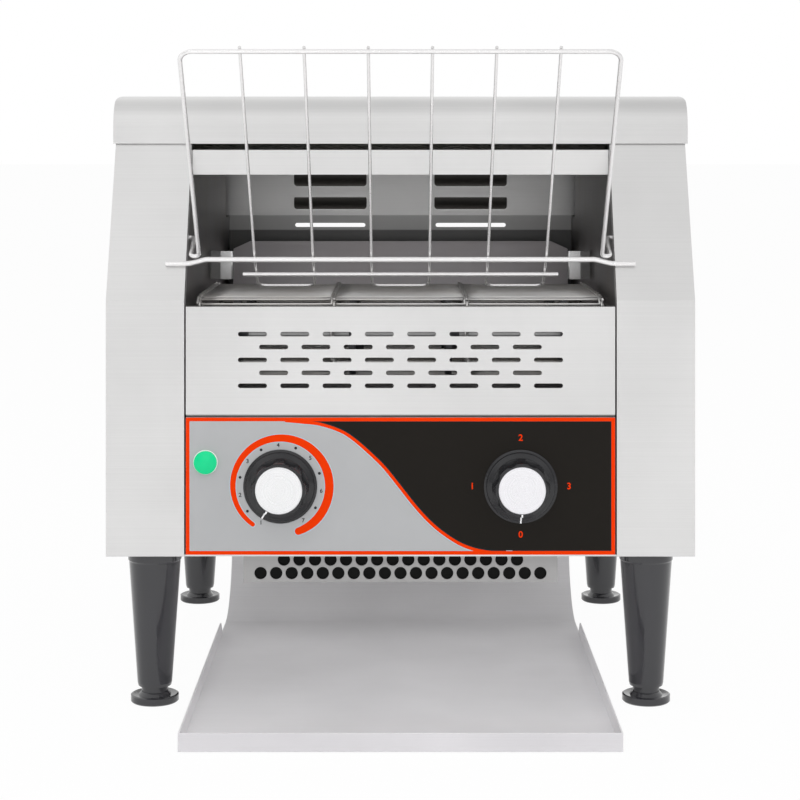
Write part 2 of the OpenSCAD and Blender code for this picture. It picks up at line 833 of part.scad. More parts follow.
// A toothed wheel whose teeth end at tip and whose bore takes a shaft of radius r
module toothed(tip, t, r, n, seat_at, seat_r) {
    linear_extrude(t) difference() {
        circle(tip);
        for (i = [0:n - 1]) rotate(i * 360 / n) translate([seat_at, 0]) circle(seat_r, $fn = 24);
        circle(r);
    }
}

module belt_sprockets(b) {
    for (x = sprocket_xs) translate([x - sprocket_t / 2, b, shaft_z]) rotate([0, 90, 0]) {
        toothed(tip_r, sprocket_t, shaft_r + slip / 2, belt_teeth_n, belt_r, gullet_r);
        translate([0, 0, sprocket_t]) difference() {
            cylinder(r = shaft_r + 3, h = 5);
            translate([0, 0, -1]) cylinder(r = shaft_r + slip / 2, h = 7);
        }
    }
}

module front_sprockets() {
    color("slategray") from_front() belt_sprockets(front_shaft_b);
}

module rear_sprockets() {
    color("slategray") from_front() belt_sprockets(rear_shaft_b);
}

// Bright ears at the belt's rear end that keep bread off the walls: a rolled edge,
// a flat and a foot on the wall with its rivet hole
ear_in_x = 118.5;
ear_flat_x = 128;
ear_rise = 22;
ear_roll_r = 1.8;
module belt_guide() {
    b = rear_shaft_b + belt_r - 2;
    z0 = belt_z + link_r + 1;
    z1 = z0 + ear_rise - 2;
    foot_x = wall_x - seat;
    translate([ear_in_x + ear_roll_r, b + ear_roll_r, z0]) cylinder(r = ear_roll_r, h = z1 - z0, $fn = 24);
    difference() {
        translate([0, 0, z0]) linear_extrude(z1 - z0) polygon(fold([
            [foot_x, b + 18], [foot_x, b + 8], [ear_flat_x, b], [ear_in_x + ear_roll_r, b]
        ], -sheet));
        bar(ear_flat_x, case_x, b + 13, (z0 + z1) / 2, 2);
    }
}

module belt_guides() {
    color("white") from_front() {
        belt_guide();
        mirror([1, 0, 0]) belt_guide();
    }
}

// Drive train between the right inner wall and the casing
motor_flange_t = 3;
module gear_motor() {
    x1 = wall_x - seat;
    color("silver") from_front() difference() {
        union() {
            bar(x1 - motor_flange_t - motor_l, x1 - motor_flange_t, motor_b, motor_z, motor_r);
            translate([x1 - motor_flange_t, motor_b, motor_z]) rotate([90, 0, 90]) linear_extrude(motor_flange_t) {
                circle(motor_r);
                square([2 * motor_r + 16, 12], center = true);
            }
        }
        bar(x1 - 14, x1 + 1, motor_b, motor_z, motor_shaft_r + slip);
    }
}

module chain_wheel(b, z) {
    translate([chain_x - roller_w / 2 + 0.8, b, z]) rotate([0, 90, 0])
        toothed(chain_tip_r, roller_w - 1.6, shaft_r + slip / 2, teeth_n, chain_r, roller_r + 0.6);
}

module drive_sprocket() {
    color("slategray") from_front() chain_wheel(rear_shaft_b, shaft_z);
}

module motor_sprocket() {
    color("slategray") from_front() {
        chain_wheel(motor_b, motor_z);
        bar(chain_x - roller_w / 2, chain_x + 4, motor_b, motor_z, shaft_r + slip);
        bar(wall_x - seat - 13.5, chain_x - roller_w / 2, motor_b, motor_z, motor_shaft_r);
    }
}

module link_plate(gap) {
    linear_extrude(plate_t) {
        circle(plate_r, $fn = 24);
        translate([gap, 0]) circle(plate_r, $fn = 24);
        translate([0, -plate_r * 0.8]) square([gap, plate_r * 1.6]);
    }
}

// Link i of the chain; even links carry the rollers and odd ones the pins
module chain_link(i) {
    a = loop_at(i * chain_pitch, chain_gap, chain_r)[0];
    c = loop_at((i + 1) * chain_pitch, chain_gap, chain_r)[0];
    gap = norm(c - a);
    inner = i % 2 == 0;
    half = inner ? roller_w / 2 : roller_w / 2 + plate_t + 0.1;
    translate([0, a.x, a.y]) rotate([atan2(c.y - a.y, c.x - a.x), 0, 0]) rotate([90, 0, 90]) {
        if (inner) difference() {
            union() {
                for (z = [-half - plate_t, half]) translate([0, 0, z]) link_plate(gap);
                for (x = [0, gap]) translate([x, 0, -half]) cylinder(r = roller_r, h = 2 * half, $fn = 24);
            }
            for (x = [0, gap]) translate([x, 0, -half - 2]) cylinder(r = pin_r + slip, h = 2 * half + 4, $fn = 24);
        }
        else {
            for (z = [-half - plate_t, half]) translate([0, 0, z]) link_plate(gap);
            for (x = [0, gap]) translate([x, 0, -half]) cylinder(r = pin_r, h = 2 * half, $fn = 24);
        }
    }
}

chain_tilt = atan2(shaft_z - motor_z, rear_shaft_b - motor_b);
module drive_chain() {
    color("dimgray") from_front() translate([chain_x, motor_b, motor_z]) rotate([chain_tilt, 0, 0])
        for (i = [0:chain_n - 1]) chain_link(i);
}

// Cooling fan, lying on the base plate over its slots
fan_x = -60;
fan_b = 105;
fan_axis_r = 1.5;
module fan_frame() {
    z = base_top_z + seat;
    rim = fan_w / 2 - 2;
    color("#303030") from_front() translate([fan_x, fan_b, z]) {
        difference() {
            translate([-fan_w / 2, -fan_w / 2, 0]) cube([fan_w, fan_w, fan_t]);
            translate([0, 0, -1]) cylinder(r = rim, h = fan_t + 2);
            for (x = [-1, 1], y = [-1, 1])
                translate([x * (fan_w / 2 - 4.5), y * (fan_w / 2 - 4.5), -1]) cylinder(r = 2, h = fan_t + 2, $fn = 24);
        }
        difference() {
            union() {
                cylinder(r = 14, h = 3);
                for (a = [0, 90]) rotate(a) translate([-rim - 0.5, -2, 0]) cube([2 * rim + 1, 4, 2.5]);
            }
            translate([0, 0, 1]) cylinder(r = fan_axis_r + slip, h = 4);
        }
    }
}

module fan_rotor() {
    color("#202020") from_front() translate([fan_x, fan_b, base_top_z + seat]) {
        translate([0, 0, 1.3]) cylinder(r = fan_axis_r, h = 4);
        translate([0, 0, 4]) cylinder(r = 16, h = fan_t - 6);
        for (i = [0:blade_n - 1]) rotate(i * 360 / blade_n)
            intersection() {
                translate([15, 0, fan_t / 2 + 1]) rotate([35, 0, 0])
                    translate([0, -14, -0.75]) cube([fan_w / 2 - 18.5, 28, 1.5]);
                translate([0, 0, 4.5]) cylinder(r = fan_w / 2 - 3.5, h = fan_t - 7);
            }
    }
}

terminal_b = leg_rear_b - 2 * leg_screw_r - 10 - terminal_l;
module terminal_block() {
    color("ivory") from_front() difference() {
        translate([gland_x - terminal_w / 2, terminal_b, base_top_z + seat]) cube([terminal_w, terminal_l, terminal_h]);
        for (i = [1, 3, 5]) translate([gland_x, terminal_b + i * terminal_l / 6, base_top_z + terminal_h / 2])
            cylinder(r = terminal_l / 10, h = terminal_h, $fn = 24);
    }
}

module cable_gland() {
    nut = gland_nut_r;
    color("#202020") from_front() translate([gland_x, case_d, gland_z]) rotate([-90, 0, 0]) difference() {
        union() {
            translate([0, 0, -sheet - 6]) cylinder(r = gland_bore_r + 4 - slip, h = sheet + 6 + seat);
            translate([0, 0, seat]) cylinder(r = nut, h = 4, $fn = 6);
            translate([0, 0, 4 + seat]) cylinder(r = gland_bore_r + 3.5, h = gland_out - 4 - seat);
            translate([0, 0, -sheet - 6]) cylinder(r = nut, h = 5, $fn = 6);
        }
        translate([0, 0, -sheet - 7]) cylinder(r = gland_bore_r, h = gland_out + sheet + 8);
    }
}

// Controls
module control_body(x, r, l) {
    on_front(x, knob_z) translate([0, 0, -sheet - seat - l]) difference() {
        union() {
            cylinder(r = r, h = l);
            translate([0, 0, l - 1]) cylinder(r = spindle_r + 1 - slip, h = 1 + sheet + seat + overlay_t);
        }
        translate([0, 0, l - 12]) cylinder(r = spindle_r + slip, h = 20);
    }
}

module speed_control() {
    color("dimgray") from_front() control_body(-knob_x, speed_r, speed_l);
}

module selector_switch() {
    color("dimgray") from_front() {
        control_body(knob_x, switch_r, switch_l);
        for (a = [0:60:300]) on_front(knob_x, knob_z) rotate(a)
            translate([switch_r - 8, -3, -sheet - seat - switch_l - 6]) cube([1, 6, 7]);
    }
}

module spindle(x) {
    on_front(x, knob_z) translate([0, 0, -sheet - seat - 11.5])
        cylinder(r = spindle_r, h = sheet + seat + 11.5 + knob_h - 5);
}

module speed_spindle() {
    color("gray") from_front() spindle(-knob_x);
}

module selector_spindle() {
    color("gray") from_front() spindle(knob_x);
}

// The knob turned about its spindle: a thin dished skirt and a tapered grip
knob_back = overlay_t + seat;
grip_r = knob_cap_r + 2;
scallop_r = 7;
module knob_body(x) {
    on_front(x, knob_z) difference() {
        rotate_extrude($fn = 64) polygon([
            [spindle_r + slip / 2, knob_back], [knob_skirt_r, knob_back], [knob_skirt_r, knob_back + 0.8],
            [knob_skirt_r - 1.5, knob_back + 1], [knob_skirt_r - 1.9, knob_back + 2.4],
            [grip_r + 1.6, knob_back + 4.2], [grip_r, knob_h - 1.5],
            [grip_r - 1, knob_h - 0.8], [knob_cap_r + slip, knob_h - 0.8], [knob_cap_r + slip, knob_h - 2.5],
            [spindle_r + slip / 2, knob_h - 2.5]
        ]);
        for (i = [0:scallop_n - 1]) rotate((i + 0.5) * 360 / scallop_n)
            translate([grip_r + scallop_r - 1, 0, knob_back + 4.8]) cylinder(r = scallop_r, h = knob_h);
    }
}

// The bright cap, a spun disc with an eased edge
module knob_cap(x) {
    on_front(x, knob_z) translate([0, 0, knob_h - 2.5 + slip]) {
        cylinder(r = knob_cap_r, h = 1.8);
        translate([0, 0, 1.8]) cylinder(r1 = knob_cap_r, r2 = knob_cap_r - 0.4, h = 0.4);
    }
}

module speed_knob() {
    color("#181818") from_front() knob_body(-knob_x);
}

module speed_knob_cap() {
    color("whitesmoke") from_front() knob_cap(-knob_x);
}

module selector_knob() {
    color("#181818") from_front() knob_body(knob_x);
}

module selector_knob_cap() {
    color("whitesmoke") from_front() knob_cap(knob_x);
}

module lamp_body() {
    color("#202020") from_front() on_front(-lamp_x, lamp_z) {
        translate([0, 0, -22]) cylinder(r = lamp_r - 1 - slip, h = 22 + overlay_t + seat);
        translate([0, 0, -28]) {
            translate([-2.5, -0.4, 0]) cube([1.2, 2.8, 7]);
            translate([1.3, -0.4, 0]) cube([1.2, 2.8, 7]);
        }
    }
}

module lamp_lens() {
    color("mediumseagreen") from_front() on_front(-lamp_x, lamp_z) translate([0, 0, overlay_t + seat + slip])
        intersection() {
            cylinder(r = lamp_r, h = 4);
            translate([0, 0, 3.2 - 2.5 * lamp_r]) sphere(r = 2.5 * lamp_r, $fn = 64);
        }
}

// Bread rack, hinged in the inner walls and resting on the sloping columns
function rack_pt(x, p) = [x, p.x, p.y];
side_wire_low = [rest_bar_b, rest_bar_z] + (rest_bar_r + rack_wire_r + weld) * rack_up;
hook_x = rack_w / 2 + 2 * rack_wire_r + 2.6;
module rack_frame() {
    bend = rack_wire_r + 1.2;
    top = [-rack_reach, rack_top_z];
    axis = [rack_axis_b, rack_axis_z];
    end_x = wall_out_x + 2.5;
    half = [
        rack_pt(end_x, axis), rack_pt(hook_x, axis), rack_pt(hook_x, side_wire_low),
        rack_pt(rack_w / 2, side_wire_low), rack_pt(rack_w / 2, top)
    ];
    other_half = [for (k = [4:-1:0]) [-half[k].x, half[k].y, half[k].z]];
    color("gainsboro") from_front()
        wire(concat(half, other_half), rack_wire_r, [bend, bend, bend, 7, 7, bend, bend, bend]);
}

slide_off = rest_bar_r + slide_wire_r + weld;
knee = [rest_bar_b, rest_bar_z] + slide_off * rack_side;
tail_end = [slide_end_b, slide_end_z];
tail = unit(tail_end - knee);
tail_normal = [-tail.y, tail.x];
second_bar = knee + 0.5 * (tail_end - knee) - (rack_wire_r + slide_wire_r + weld) * tail_normal;
slide_top = [-rack_reach, rack_top_z] + (rack_wire_r + slide_wire_r + weld) * rack_side + 1.5 * rack_up;
module rack_bars() {
    pin_x = mouth_x + rest_lap;
    color("gainsboro") from_front() {
        wire([
            [-pin_x, rest_pin_b, rest_pin_z], [-mouth_x + 2, rest_pin_b, rest_pin_z],
            [-rack_w / 2 + 4, rest_bar_b, rest_bar_z], [rack_w / 2 - 4, rest_bar_b, rest_bar_z],
            [mouth_x - 2, rest_pin_b, rest_pin_z], [pin_x, rest_pin_b, rest_pin_z]
        ], rest_bar_r, [5, 5, 5, 5]);
        bar(-2.73 * slide_pitch, 2.73 * slide_pitch, second_bar.x, second_bar.y, rack_wire_r);
    }
}

module rack_slide_wires() {
    color("gainsboro") from_front() for (i = [-1:1]) {
        x0 = 2 * i * slide_pitch - slide_pitch / 2;
        x1 = x0 + slide_pitch;
        wire([
            rack_pt(x0, slide_top), rack_pt(x0, knee), rack_pt(x0, tail_end),
            rack_pt(x1, tail_end), rack_pt(x1, knee), rack_pt(x1, slide_top)
        ], slide_wire_r, [5, 5, 5, 5]);
    }
}

// Chute, deflector and guard
chute_floor_z = chute_lift + sheet;
chute_x = chute_w / 2;
module toast_chute() {
    r = chute_r;
    cb = chute_back_b - r;
    cz = chute_floor_z + r;
    color("lightgray") from_front() {
        across(-chute_x, chute_x) {
            translate([-chute_reach, chute_lift]) square([chute_reach + cb, sheet]);
            intersection() {
                translate([cb, cz]) difference() {
                    circle(r + sheet, $fn = 96);
                    circle(r, $fn = 96);
                }
                translate([cb, chute_lift]) square([r + sheet + 1, r + sheet]);
            }
            translate([chute_back_b, cz]) square([sheet, chute_top_z - cz]);
        }
        block(-chute_x, chute_x, -chute_reach, -chute_reach + sheet, chute_floor_z, rim_h);
        for (s = [-1, 1]) across(s > 0 ? chute_x - sheet : -chute_x, s > 0 ? chute_x : -chute_x + sheet)
            polygon([
                [-chute_reach + sheet, chute_floor_z], [-chute_reach + sheet, rim_h],
                [rim_end_b, rim_h], [rim_end_b + rim_h, chute_floor_z]
            ]);
    }
}

module deflector() {
    b = chute_back_b;
    z0 = chute_top_z + seat;
    corner = [13, 6];
    tab_z = [case_z + 30, case_z + 90];
    color("silver") from_front() {
        intersection() {
            across(-chute_x, chute_x) polygon(fold([
                [b + deflector_lean, deflector_top_z], [b, shelf_z], [b, z0]
            ], sheet));
            through(b - 5, b + 40) polygon([
                [-chute_x, z0 - 1], [-chute_x, deflector_top_z - corner.y],
                [-chute_x + corner.x, deflector_top_z], [chute_x - corner.x, deflector_top_z],
                [chute_x, deflector_top_z - corner.y], [chute_x, z0 - 1]
            ]);
        }
        for (s = [-1, 1]) block(
            min(s * chute_x, s * (wall_x - seat)), max(s * chute_x, s * (wall_x - seat)),
            b, b + sheet, tab_z[0], tab_z[1]);
    }
}

guard_rows = [16, 19];
module chute_guard() {
    row_z = guard_pitch * sqrt(3) / 2;
    color("gainsboro") from_front() difference() {
        union() {
            block(-guard_w / 2, guard_w / 2, guard_b, guard_b + sheet, guard_z, case_z - seat);
            block(-guard_w / 2, guard_w / 2, guard_b, guard_b + flange_w, case_z - seat - sheet, case_z - seat);
        }
        for (row = [0, 1], i = [0:guard_rows[row] - 1])
            translate([(i - (guard_rows[row] - 1) / 2) * guard_pitch, guard_b - 1, guard_z + 5.7 + (1 - row) * row_z])
                rotate([-90, 0, 0]) cylinder(r = guard_hole_r, h = sheet + 2, $fn = 24);
    }
}

// Legs and feet
module leg_profile() {
    neck = stem_r + 2;
    rotate_extrude($fn = 64) polygon([
        [stem_r + slip, leg_low_z - 2], [neck, leg_low_z - 2], [leg_low_r, leg_low_z],
        [leg_top_r - 0.6, case_z - 8], [leg_top_r, case_z - 7], [leg_top_r, case_z - 0.1],
        [leg_screw_r + slip, case_z - 0.1], [leg_screw_r + slip, case_z - 14],
        [stem_r + slip, case_z - 14]
    ]);
}

module leg(x, b) {
    color("#1c1c1e") from_front() translate([x, b, 0]) leg_profile();
}

module foot(x, b) {
    color("#1c1c1e") from_front() translate([x, b, 0]) rotate_extrude($fn = 64) polygon([
        [0, 0], [foot_r - 0.8, 0], [foot_r, 0.8], [foot_r, foot_t - 0.5], [foot_r - 1, foot_t],
        [stem_r + 2, foot_t - 0.6], [stem_r, foot_t + 1.6], [stem_r, foot_t + stem_l], [0, foot_t + stem_l]
    ]);
}

module leg_front_left() {
    leg(-leg_x, leg_front_b);
}

module leg_front_right() {
    leg(leg_x, leg_front_b);
}

module leg_rear_left() {
    leg(-leg_x, leg_rear_b);
}

module leg_rear_right() {
    leg(leg_x, leg_rear_b);
}

module foot_front_left() {
    foot(-leg_x, leg_front_b);
}

module foot_front_right() {
    foot(leg_x, leg_front_b);
}

module foot_rear_left() {
    foot(-leg_x, leg_rear_b);
}

module foot_rear_right() {
    foot(leg_x, leg_rear_b);
}

module leg_screws() {
    color("gainsboro") from_front() for (x = [-leg_x, leg_x], b = [leg_front_b, leg_rear_b])
        translate([x, b, base_top_z + slip]) {
            cylinder(r = 2 * leg_screw_r, h = 4, $fn = 6);
            translate([0, 0, -sheet - 11]) cylinder(r = leg_screw_r, h = sheet + 12);
        }
}

side_panel_left();
side_panel_right();
base_plate();
top_cover();
rear_panel();
hood_strip();
slotted_panel();
control_panel();
control_overlay();
inner_wall_left();
inner_wall_right();
electrics_shelf();
wire_belt();
front_shaft();
front_sprockets();
rear_shaft();
rear_sprockets();
shaft_bushes();
belt_guides();
upper_heaters();
upper_heater_caps();
lower_heaters();
lower_heater_caps();
upper_reflector();
lower_reflector();
gear_motor();
motor_sprocket();
drive_sprocket();
drive_chain();
fan_frame();
fan_rotor();
terminal_block();
cable_gland();
speed_control();
speed_spindle();
speed_knob();
speed_knob_cap();
selector_switch();
selector_spindle();
selector_knob();
selector_knob_cap();
lamp_body();
lamp_lens();
rack_frame();
rack_bars();
rack_slide_wires();
toast_chute();
deflector();
chute_guard();
leg_front_left();
leg_front_right();
leg_rear_left();
leg_rear_right();
foot_front_left();
foot_front_right();
foot_rear_left();
foot_rear_right();
leg_screws();
rear_screws();
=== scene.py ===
import math

import bmesh
import bpy
from mathutils import Matrix, Vector


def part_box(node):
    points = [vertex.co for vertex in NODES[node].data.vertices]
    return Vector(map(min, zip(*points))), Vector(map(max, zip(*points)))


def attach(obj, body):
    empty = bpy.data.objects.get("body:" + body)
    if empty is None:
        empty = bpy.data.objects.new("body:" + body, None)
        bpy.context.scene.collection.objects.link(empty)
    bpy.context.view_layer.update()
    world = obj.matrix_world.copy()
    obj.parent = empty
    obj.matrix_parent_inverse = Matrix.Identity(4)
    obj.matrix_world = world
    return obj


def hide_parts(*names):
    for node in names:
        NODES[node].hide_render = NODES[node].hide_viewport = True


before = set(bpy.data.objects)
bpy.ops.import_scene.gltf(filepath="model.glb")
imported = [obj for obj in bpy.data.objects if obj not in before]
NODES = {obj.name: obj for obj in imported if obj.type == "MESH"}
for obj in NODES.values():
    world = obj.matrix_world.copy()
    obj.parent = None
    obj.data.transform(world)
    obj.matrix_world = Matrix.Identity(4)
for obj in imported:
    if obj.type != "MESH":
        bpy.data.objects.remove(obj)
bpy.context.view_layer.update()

# Looks of the conveyor toaster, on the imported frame. Lengths are in metres, apart from b, a
# depth in mm behind the casing's front plane, and from what a comment gives in mm.
FRONT = -0.125325          # y of the casing's front plane
MM = 0.001


# ---------------------------------------------------------------- helpers
def at(b):
    """y of a place b mm behind the casing's front plane."""
    return FRONT + b * MM


def link(name, data, body="casing", mats=()):
    """A new object that moves with body and takes the materials mats."""
    ob = bpy.data.objects.new(name, data)
    bpy.context.scene.collection.objects.link(ob)
    for m in mats:
        ob.data.materials.append(m)
    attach(ob, body)
    return ob


def mesh_object(name, verts, faces, mats, body="casing"):
    me = bpy.data.meshes.new(name)
    me.from_pydata(verts, [], faces)
    me.update()
    bm = bmesh.new()
    bm.from_mesh(me)
    bmesh.ops.recalc_face_normals(bm, faces=bm.faces)
    bm.to_mesh(me)
    bm.free()
    return link(name, me, body, mats)


def tube_object(name, paths, radius, mats, res=3, closed=False):
    """Round wires along lists of points; every fourth one takes the second material, if any."""
    cu = bpy.data.curves.new(name, "CURVE")
    cu.dimensions = "3D"
    cu.bevel_depth = radius
    cu.bevel_resolution = res
    cu.use_fill_caps = True
    for i, pts in enumerate(paths):
        sp = cu.splines.new("POLY")
        sp.points.add(len(pts) - 1)
        for p, q in zip(sp.points, pts):
            p.co = (q[0], q[1], q[2], 1)
        sp.use_smooth = True
        sp.use_cyclic_u = closed
        sp.material_index = i % 4 == 0 and len(mats) > 1
    return link(name, cu, mats=mats)


# ---------------------------------------------------------------- shader helpers
def new_mat(name):
    m = bpy.data.materials.new(name)
    m.use_nodes = True
    nt = m.node_tree
    nt.nodes.clear()
    out = nt.nodes.new("ShaderNodeOutputMaterial")
    bs = nt.nodes.new("ShaderNodeBsdfPrincipled")
    nt.links.new(bs.outputs[0], out.inputs[0])
    return m, nt, bs


def coords(nt, scale=(1, 1, 1), loc=(0, 0, 0), source="Object"):
    tc = nt.nodes.new("ShaderNodeTexCoord")
    mp = nt.nodes.new("ShaderNodeMapping")
    mp.inputs["Scale"].default_value = scale
    mp.inputs["Location"].default_value = loc
    nt.links.new(tc.outputs[source], mp.inputs[0])
    return mp.outputs[0]


def axes(nt, vec):
    """The X, Y and Z outputs of a vector."""
    sep = nt.nodes.new("ShaderNodeSeparateXYZ")
    nt.links.new(vec, sep.inputs[0])
    return sep.outputs


def noise(nt, vec, detail=4.0, rough=0.55):
    n = nt.nodes.new("ShaderNodeTexNoise")
    n.inputs["Scale"].default_value = 1.0
    n.inputs["Detail"].default_value = detail
    n.inputs["Roughness"].default_value = rough
    nt.links.new(vec, n.inputs["Vector"])
    return n.outputs["Fac"]


def ramp(nt, fac, stops):
    r = nt.nodes.new("ShaderNodeValToRGB")
    el = r.color_ramp.elements
    while len(el) < len(stops):
        el.new(0.5)
    for e, (p, c) in zip(el, stops):
        e.position = p
        e.color = (*c, 1) if isinstance(c, tuple) else (c, c, c, 1)
    nt.links.new(fac, r.inputs[0])
    return r.outputs[0]


def maths(nt, op, *values):
    n = nt.nodes.new("ShaderNodeMath")
    n.operation = op
    for i, v in enumerate(values):
        if isinstance(v, (int, float)):
            n.inputs[i].default_value = v
        else:
            nt.links.new(v, n.inputs[i])
    return n.outputs[0]


def mix(nt, fac, a, b, mode="MIX"):
    n = nt.nodes.new("ShaderNodeMix")
    n.data_type = "RGBA"
    n.blend_type = mode
    for i, v in ((0, fac), (6, a), (7, b)):
        if isinstance(v, (int, float)):
            n.inputs[i].default_value = v
        elif isinstance(v, tuple):
            n.inputs[i].default_value = (*v, 1)
        else:
            nt.links.new(v, n.inputs[i])
    return n.outputs[2]


def bump(nt, bs, height, strength, dist):
    n = nt.nodes.new("ShaderNodeBump")
    n.inputs["Strength"].default_value = strength
    n.inputs["Distance"].default_value = dist
    nt.links.new(height, n.inputs["Height"])
    nt.links.new(n.outputs[0], bs.inputs["Normal"])


def darker(color, share):
    return tuple(c * (1 - share) for c in color)


def lighter(color, share):
    return tuple(min(1, c * (1 + share)) for c in color)


def principled(m):
    """A material's node tree, its shader and what drives the shader's base colour."""
    nt = m.node_tree
    bs = nt.nodes["Principled BSDF"]
    links = bs.inputs["Base Color"].links
    return nt, bs, links[0].from_socket if links else None


# ---------------------------------------------------------------- kinds of material
BRUSH_LONG, BRUSH_FINE = 5, 1500     # noise along and across the brush lines, per metre


def brush_lines(nt):
    """Noise drawn out across the width on walls, and likewise on faces that look up or down."""
    normal = axes(nt, coords(nt, source="Normal"))
    top = maths(nt, "GREATER_THAN", maths(nt, "ABSOLUTE", normal[2]), 0.6)
    walls = noise(nt, coords(nt, (BRUSH_LONG, BRUSH_LONG, BRUSH_FINE)), 5.0, 0.65)
    tops = noise(nt, coords(nt, (BRUSH_LONG, BRUSH_FINE, BRUSH_LONG)), 5.0, 0.65)
    m = nt.nodes.new("ShaderNodeMix")
    nt.links.new(top, m.inputs[0])
    nt.links.new(walls, m.inputs[2])
    nt.links.new(tops, m.inputs[3])
    return m.outputs[0]


def steel(name, color, rough=0.3, brushed=True, tint=None, tint_amount=0.0, metallic=1.0,
          grain=0.06):
    """Sheet or wire with smudges, heat tint in patches, and brush lines or a fine grain."""
    m, nt, bs = new_mat(name)
    smudge = noise(nt, coords(nt, (9, 9, 9)), 3.0, 0.5)
    col = ramp(nt, smudge, [(0.3, darker(color, 0.06)), (0.7, lighter(color, 0.05))])
    if tint:
        patch = ramp(nt, noise(nt, coords(nt, (22, 22, 14)), 5.0, 0.6), [(0.42, 0.0), (0.75, 1.0)])
        col = mix(nt, maths(nt, "MULTIPLY", patch, tint_amount), col, tint)
    if brushed:
        lines = brush_lines(nt)
        col = mix(nt, 0.07, col, ramp(nt, lines, [(0.3, 0.3), (0.7, 1.0)]), "MULTIPLY")
        bump(nt, bs, lines, grain, 0.0004)
        r = maths(nt, "MULTIPLY_ADD", lines, 0.16, rough - 0.08)
    else:
        fine = noise(nt, coords(nt, (700, 700, 700)), 3.0, 0.6)
        bump(nt, bs, fine, grain, 0.0002)
        r = maths(nt, "MULTIPLY_ADD", fine, 0.14, rough - 0.07)
    r = maths(nt, "ADD", r, maths(nt, "MULTIPLY", smudge, 0.05))
    nt.links.new(col, bs.inputs["Base Color"])
    nt.links.new(r, bs.inputs["Roughness"])
    bs.inputs["Metallic"].default_value = metallic
    return m


def plastic(name, color, rough=0.35, scale=900, grain=0.15, coat=0.0, spec=0.5, mottle=0.12):
    """Moulded or printed surface: a mottled colour under a grain of the given scale."""
    m, nt, bs = new_mat(name)
    fine = noise(nt, coords(nt, (scale, scale, scale)), 2.0, 0.5)
    big = noise(nt, coords(nt, (30, 30, 30)), 4.0, 0.6)
    col = ramp(nt, big, [(0.3, darker(color, mottle)), (0.7, lighter(color, mottle))])
    nt.links.new(col, bs.inputs["Base Color"])
    nt.links.new(maths(nt, "MULTIPLY_ADD", big, 0.1, rough - 0.05), bs.inputs["Roughness"])
    bs.inputs["Coat Weight"].default_value = coat
    bs.inputs["Coat Roughness"].default_value = 0.08
    bs.inputs["Specular IOR Level"].default_value = spec
    bump(nt, bs, fine, grain, 0.0001)
    return m


def ink(name, color, rough=0.5, spec=0.08, mottle=0.02):
    """A printed colour on the overlay."""
    return plastic(name, color, rough, 1600, 0.05, spec=spec, mottle=mottle)


def spun(name, color, centre, rough=0.28):
    """Turned aluminium: fine rings round an axis along Y through centre (x, z)."""
    m, nt, bs = new_mat(name)
    x, _, z = axes(nt, coords(nt, loc=(-centre[0], 0, -centre[1])))
    r = maths(nt, "SQRT", maths(nt, "ADD", maths(nt, "POWER", x, 2.0), maths(nt, "POWER", z, 2.0)))
    c = nt.nodes.new("ShaderNodeCombineXYZ")
    nt.links.new(maths(nt, "MULTIPLY", r, 3500.0), c.inputs[0])
    rings = noise(nt, c.outputs[0], 3.0, 0.6)
    col = ramp(nt, rings, [(0.3, darker(color, 0.07)), (0.7, color)])
    nt.links.new(col, bs.inputs["Base Color"])
    nt.links.new(maths(nt, "MULTIPLY_ADD", rings, 0.12, rough - 0.06), bs.inputs["Roughness"])
    bs.inputs["Metallic"].default_value = 0.85
    bump(nt, bs, rings, 0.08, 0.0001)
    return m


def worn_lip(m):
    """Painted shade: the face of the chute's front lip, which the lamps in front light most, gets a
    darker colour than the inside.
    """
    nt, bs, col = principled(m)
    lip = maths(nt, "LESS_THAN", axes(nt, coords(nt))[1], at(-80.9))
    lip_shade = mix(nt, 1.0, col, (0.74, 0.735, 0.745), "MULTIPLY")
    nt.links.new(mix(nt, lip, col, lip_shade), bs.inputs["Base Color"])
    return m


def sooty(m, name):
    """A copy of m for the rear panel with painted shade: its inner face is darkened in bands
    towards the bottom, and the louvres are painted near black inside."""
    m = m.copy()
    m.name = name
    nt, bs, col = principled(m)
    place, normal = axes(nt, coords(nt)), axes(nt, coords(nt, source="Normal"))
    inner = maths(nt, "MULTIPLY", maths(nt, "LESS_THAN", normal[1], -0.5),
                  maths(nt, "GREATER_THAN", place[1], at(343.5)))
    zone = ramp(nt, maths(nt, "MULTIPLY_ADD", place[2], 10.0, -2.7),
                [(0.0, 0.17), (0.183, 0.17), (0.192, 0.5), (0.3, 0.55), (0.308, 1.0)])
    deep = maths(nt, "MULTIPLY", maths(nt, "GREATER_THAN", place[1], at(344.03)),
                 maths(nt, "LESS_THAN", normal[1], 0.3))
    dark = mix(nt, deep, mix(nt, inner, (1.0, 1.0, 1.0), zone), (0.09, 0.085, 0.08))
    nt.links.new(mix(nt, 1.0, col, dark, "MULTIPLY"), bs.inputs["Base Color"])
    return m


def quartz(name):
    m, nt, bs = new_mat(name)
    cloud = noise(nt, coords(nt, (60, 200, 200)), 2.0, 0.5)
    col = ramp(nt, cloud, [(0.3, (0.95, 0.93, 0.91)), (0.7, (1.0, 0.99, 0.98))])
    nt.links.new(col, bs.inputs["Base Color"])
    nt.links.new(maths(nt, "MULTIPLY_ADD", cloud, 0.06, 0.05), bs.inputs["Roughness"])
    bs.inputs["Transmission Weight"].default_value = 0.92
    bs.inputs["IOR"].default_value = 1.45
    return m


# ---------------------------------------------------------------- materials
DIAL = (-0.075, 0.142)         # middle (x, z) of the speed dial
SELECTOR = (0.075, 0.142)      # and of the selector

